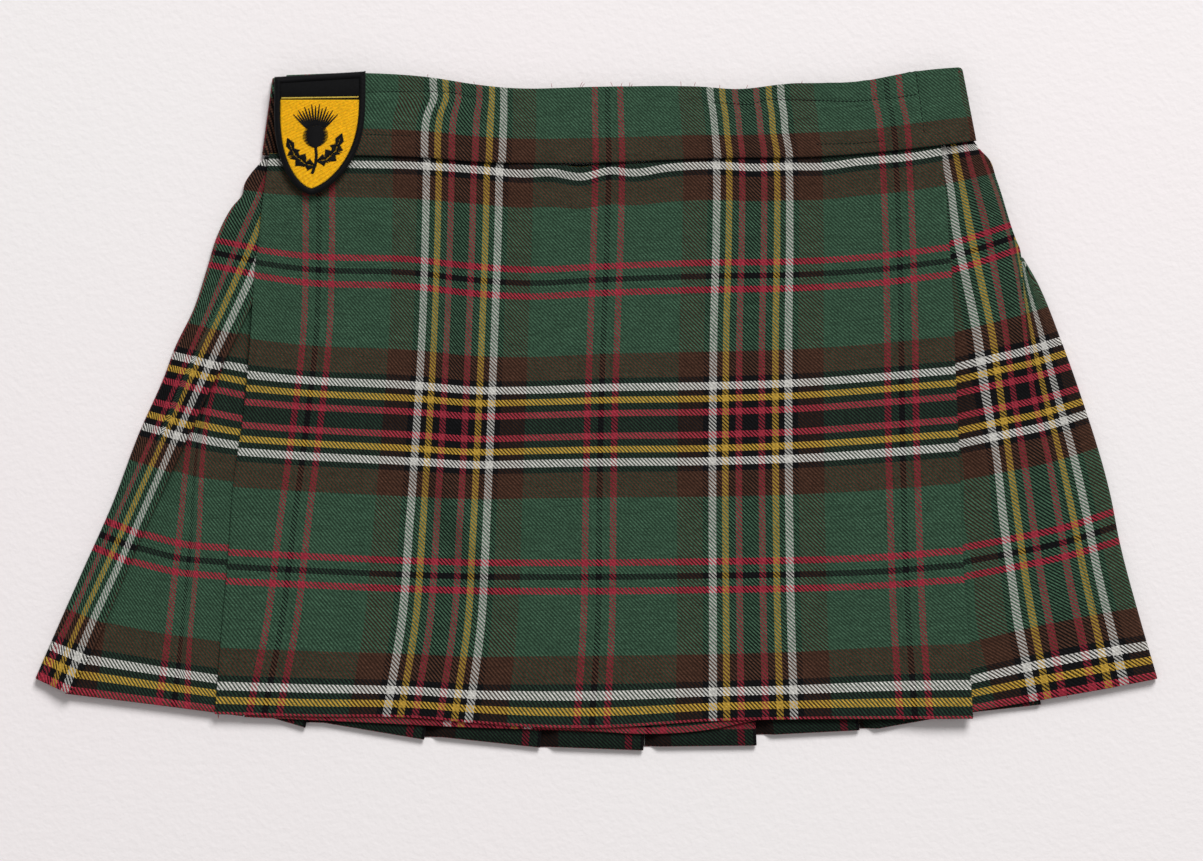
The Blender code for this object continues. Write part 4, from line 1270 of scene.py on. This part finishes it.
def on_badge(x, y, rise):
    return (x, y, float(badge_base_z(y)) + rise)


def border_stitches():
    """Overlocked thread all round: each stitch crosses the border a little on the slant."""
    outer, inner = shield_outline(0.15, 96), shield_outline(BADGE_EDGE + 0.1, 96)
    closed = np.concatenate([outer, outer[:1]])
    steps, _ = even_steps(closed, 0.62)
    reach_out = reach_along(closed)
    closed_in = np.concatenate([inner, inner[:1]])
    stitches = []
    for index, (x, y) in enumerate(steps[:-1]):
        at = reach_out[-1] * (index + 0.9) / (len(steps) - 1)
        at %= reach_out[-1]
        in_x = np.interp(at, reach_out, closed_in[:, 0])
        in_y = np.interp(at, reach_out, closed_in[:, 1])
        stitches += [on_badge(x, y, 0.35), on_badge(in_x, in_y, 0.95)]
    return stitches


FILL_ROW = 0.42          # spacing of the field's rows of stitches
FILL_STITCH = 3.4        # length of each stitch in them


def field_stitches():
    """Rows of yellow fill stitches, each row's ends offset from the next."""
    header_low = BADGE_AT[1] - BADGE_HEADER
    outline = shield_outline(BADGE_EDGE + 0.1, 60)
    stitches = []
    rows = int((BADGE_H - BADGE_HEADER) / FILL_ROW)
    for row in range(rows):
        y = header_low - 0.5 - row * FILL_ROW
        crossings = [x0 + (y - y0) * (x1 - x0) / (y1 - y0)
                     for (x0, y0), (x1, y1) in zip(outline, np.roll(outline, -1, axis=0))
                     if (y0 > y) != (y1 > y)]
        if len(crossings) < 2 or max(crossings) - min(crossings) < 0.8:
            continue
        left, right = min(crossings), max(crossings)
        x = left - FILL_STITCH * ((row * 0.29) % 1.0)
        while x < right:
            start, end = max(left, x), min(right, x + FILL_STITCH)
            if end - start > 0.4:
                stitches += [on_badge(start, y, FIELD_H - 0.12), on_badge(end, y, FIELD_H - 0.12)]
            x += FILL_STITCH
    return stitches


# The motif, measured from the middle of its thistle head.
MOTIF_AT = (-137.6, 133.6)
HEAD_W = 12.5
HEAD_H = 11.5
MOTIF_ROW = 0.34         # spacing of the stitches in the head and the stem, and in the leaves
LEAF_ROW = 0.3
STEM_HALF = 0.8          # half the stem's width
LEAF_SHAPE = rows("along half", [
    (0.0, 0.6), (0.14, 3.2), (0.21, 1.3), (0.38, 4.2), (0.47, 1.6), (0.62, 3.6), (0.71, 1.3),
    (0.84, 2.3), (1.0, 0.2),
])
STEM = [(0.0, -5.2), (0.5, -9.5), (0.0, -14.0), (-1.6, -18.5)]
LEAVES = {
    "left": [(0.2, -15.0), (-5.0, -13.8), (-10.2, -9.5), (-13.4, -2.0)],
    "right": [(0.3, -12.4), (5.2, -11.8), (9.8, -7.4), (12.6, 0.2)],
}
CROWN_HAIRS = 15
CROWN_FOOT = 3.2         # height at which the crown leaves the head
CROWN_SPREAD = 44.0      # angle of the outermost hair of the crown from upright, in degrees


def motif_stitches():
    """A thistle: a round head, a crown of hairs, a stem and two jagged leaves."""
    rise = FIELD_H + 0.12
    stitches = []

    def add(x0, y0, x1, y1):
        stitches.extend([on_badge(MOTIF_AT[0] + x0, MOTIF_AT[1] + y0, rise),
                         on_badge(MOTIF_AT[0] + x1, MOTIF_AT[1] + y1, rise)])

    for y in np.arange(-HEAD_H / 2 + 0.2, HEAD_H * 0.42, MOTIF_ROW):
        half = HEAD_W / 2 * math.sqrt(max(0.02, 1.0 - (2 * y / HEAD_H) ** 2))
        add(-half, y - 0.25, half, y + 0.25)
    for index in range(CROWN_HAIRS):
        share = 2.0 * index / (CROWN_HAIRS - 1) - 1.0
        angle = math.radians(CROWN_SPREAD * share)
        length = 12.6 - 2.6 * abs(share) - 1.3 * (index % 2)
        foot = 3.9 * share
        for side in (-0.36, 0.0, 0.36):
            add(foot + side, CROWN_FOOT, foot + side * 0.4 + length * math.sin(angle),
                CROWN_FOOT + length * math.cos(angle))
    stem, heading = even_steps(STEM, MOTIF_ROW)
    for (x, y), (dx, dy) in zip(stem, heading):
        add(x + dy * STEM_HALF, y - dx * STEM_HALF, x - dy * STEM_HALF, y + dx * STEM_HALF)
    for leaf in LEAVES.values():
        line, heading = even_steps(leaf, LEAF_ROW)
        for index, ((x, y), (dx, dy)) in enumerate(zip(line, heading)):
            share = index / (len(line) - 1)
            half = float(np.interp(share, column(LEAF_SHAPE, "along"), column(LEAF_SHAPE, "half")))
            for side in (-1, 1):
                add(x, y, x + dx * 0.9 + side * dy * half, y + dy * 0.9 - side * dx * half)
    return stitches


def header_line_stitches():
    """The fine run of stitches between the header and the field."""
    y = BADGE_AT[1] - BADGE_HEADER + 0.95
    line, _ = even_steps([(BADGE_AT[0] - 18.6, y - 0.3), (BADGE_AT[0] + 18.6, y + 0.2)], 0.55)
    return [on_badge(x + shift, ys + shift * 1.2, FIELD_H + 0.05)
            for x, ys in line for shift in (-0.3, 0.3)]


def running_stitches(run, length=2.1, gap=0.7):
    """Machine stitches along a run of the waistband."""
    line = [(*map(float, band_place(point.x, point.up)), point.x, point.up) for point in run]
    placed, _ = even_steps(line, length + gap)
    stitches = []
    for start, end in zip(placed, placed[1:]):
        stop = lerp(start, end, length / (length + gap))
        for x, y, x_low, up in (start, stop):
            z = band_top_z(np.array([x_low]), np.array([x]), up)[0] + BAND_CLOTH / 2 - 0.05
            stitches.append((x, y, z))
    return stitches


# Ends of thread that stick out: where each starts, the way it points and its length.
LOOSE_ENDS = rows("x y z angle length", [
    (-22.0, 157.2, 8.0, 100.0, 2.4), (-8.5, 157.5, 8.0, 62.0, 3.2), (-7.6, 157.5, 8.1, 50.0, 2.6),
    (7.8, 157.8, 8.0, 118.0, 2.6), (11.6, 157.8, 8.0, 70.0, 2.2), (15.8, 157.7, 8.0, 82.0, 2.4),
    (16.5, 157.7, 8.0, 60.0, 1.8), (41.2, 157.9, 8.0, 95.0, 2.6), (47.6, 158.0, 8.0, 75.0, 2.2),
    (-83.0, 162.5, 8.4, 80.0, 1.6), (-60.0, 159.0, 8.3, 105.0, 1.5), (60.0, 157.0, 8.0, 85.0, 1.7),
    (73.0, 156.9, 8.0, 65.0, 2.0), (100.0, 159.2, 8.2, 70.0, 1.6), (176.5, 165.0, 8.0, 10.0, 1.5),
    (181.0, 152.0, 8.2, 20.0, 1.4), (-186.0, -149.3, 4.0, -80.0, 2.6),
    (-185.2, -149.4, 4.2, -105.0, 2.2), (-120.0, -151.5, 5.0, -60.0, 1.5),
    (-40.0, -155.9, 5.0, -110.0, 1.4), (60.0, -153.6, 5.0, -80.0, 1.6),
    (150.0, -151.6, 5.0, -70.0, 1.5), (230.0, -140.2, 3.5, -60.0, 1.8),
    (214.0, -143.0, 3.5, -95.0, 1.7),
])


def loose_end_stitches():
    ends = []
    for end in LOOSE_ENDS:
        angle = math.radians(end.angle)
        ends += [(end.x, end.y, end.z),
                 (end.x + end.length * math.cos(angle), end.y + end.length * math.sin(angle), end.z + 0.3)]
    return ends


# ---- the stage ----
def floor_plane():
    """The table top that the kilt lies on."""
    size = 3.0
    corners = [(-size, -size, 0.0), (size, -size, 0.0), (size, size, 0.0), (-size, size, 0.0)]
    mesh = new_mesh("table_top", corners, [], [(0, 1, 2, 3)])
    mesh.materials.append(floor_material())
    place_object("table_top", mesh)


def area_light(name, place, size, power):
    """A round soft light that faces the kilt."""
    data = bpy.data.lights.new(name, "AREA")
    data.shape = "DISK"
    data.size = size
    data.energy = power
    made = place_object(name, data)
    made.location = place
    made.rotation_euler = (-made.location).to_track_quat("-Z", "Y").to_euler()
    return made


def studio():
    """Even light from all round and one soft light from above the waist."""
    world = bpy.data.worlds.new("soft_room")
    bpy.context.scene.world = world
    world.use_nodes = True
    room = world.node_tree.nodes["Background"].inputs
    room["Color"].default_value = (1.0, 0.99, 0.985, 1.0)
    room["Strength"].default_value = 0.36
    area_light("soft_light", (1.7, 4.3, 4.8), 3.0, 385.0)
    bpy.context.scene.view_settings.view_transform = "Standard"


VIEW_WIDTH = 589.5       # width of the view at the kilt
VIEW_MIDDLE = (2.2, -10.5)   # the place that the camera stands over
CAMERA_HEIGHT = 2400.0
FRONT_HEIGHT = 6.0       # about how high the front lies, where that width is meant


def camera():
    """Straight above the kilt and far off, so that it sees it without perspective's pull."""
    data = bpy.data.cameras.new("camera")
    data.lens = 100.0
    data.sensor_width = data.lens * VIEW_WIDTH / (CAMERA_HEIGHT - FRONT_HEIGHT)
    data.dof.use_dof = False
    made = place_object("camera", data)
    made.location = (VIEW_MIDDLE[0] * MM, VIEW_MIDDLE[1] * MM, CAMERA_HEIGHT * MM)
    bpy.context.scene.camera = made


# ---- make it ----
camera()
studio()
floor_plane()
twill = tartan("tartan_twill", 1.0)
black_thread = thread_material("black_thread", (15, 15, 17), 0.6, 0.02)
yellow_thread = thread_material("yellow_thread", (247, 192, 24), 0.45, 0.05)
pale_thread = thread_material("pale_yellow_thread", (236, 205, 90), 0.5, 0.05)
green_thread = thread_material("dark_green_thread", (15, 22, 19), 0.8, 0.0)
black_cloth = thread_material("black_badge_cloth", (17, 17, 18), 0.9, 0.0)
red_thread = thread_material("loose_red_thread", (150, 50, 55), 0.8, 0.05)

outer = outer_apron(twill)
under = under_apron(twill)
left = left_pleats(twill)
right = right_pleats(twill)
# The back's inside uses the tartan darkened to 0.66: painted shade for the little light that reaches it under
# the front.
back = back_pleats(tartan("tartan_in_painted_shade", 0.66))
band = outer_band(twill)
band_under = under_band(twill)
band_back = back_band(twill)

header_low = BADGE_AT[1] - BADGE_HEADER
inner_line = shield_outline(BADGE_EDGE - 0.4)
right_x, left_x = inner_line[0, 0], inner_line[-1, 0]
field_top, header_foot = header_low - NODE_GAP / 2, header_low + NODE_GAP / 2
below_header = inner_line[inner_line[:, 1] < field_top]
field_line = np.concatenate([[(left_x, field_top), (right_x, field_top)], below_header])
header_line = np.array([inner_line[-1], inner_line[0], (right_x, header_foot), (left_x, header_foot)])
field = plate("badge_field_cloth", field_line, 0.05, FIELD_H - 0.15, yellow_thread)
header = plate("badge_header_cloth", header_line, 0.05, FIELD_H, black_cloth)
cord = border_ring("badge_border_cord", black_thread)
fill = threads("badge_fill_stitches", field_stitches(), 0.24, 0.1, yellow_thread, steps=5, sides=5)
edging = threads("badge_overlock_stitches", border_stitches(), 0.36, 0.85, black_thread, steps=8, sides=6)
thistle = threads("badge_thistle_stitches", motif_stitches(), 0.24, 0.16, black_thread, steps=5, sides=5)
header_run = threads("badge_header_line", header_line_stitches(), 0.22, 0.12, pale_thread, steps=4, sides=5)
topstitch = threads("waistband_topstitch", sum((running_stitches(run) for run in STITCH_RUNS.values()), []),
                    0.27, 0.15, green_thread, steps=6, sides=6)
loose = threads("loose_thread_ends", loose_end_stitches(), 0.13, 0.3, red_thread, steps=6, sides=5)

for piece, node, slot in (
        (outer, "outer_apron", "tartan"), (under, "under_apron", "tartan"), (left, "pleats_left", "tartan"),
        (right, "pleats_right", "tartan"), (back, "pleats_back", "tartan"),
        (band, "waistband_outer", "waistband"), (band_under, "waistband_under", "waistband"),
        (band_back, "waistband_back", "waistband"), (field, "badge_field", "badge_yellow"),
        (header, "badge_header", "badge_black"), (cord, "badge_border", "badge_black")):
    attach(piece, "root")
    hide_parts(node)
for piece, slot in ((fill, "badge_yellow"), (edging, "badge_black"), (thistle, "badge_black"),
                    (header_run, "badge_yellow"), (topstitch, "waistband"), (loose, "tartan")):
    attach(piece, "root")
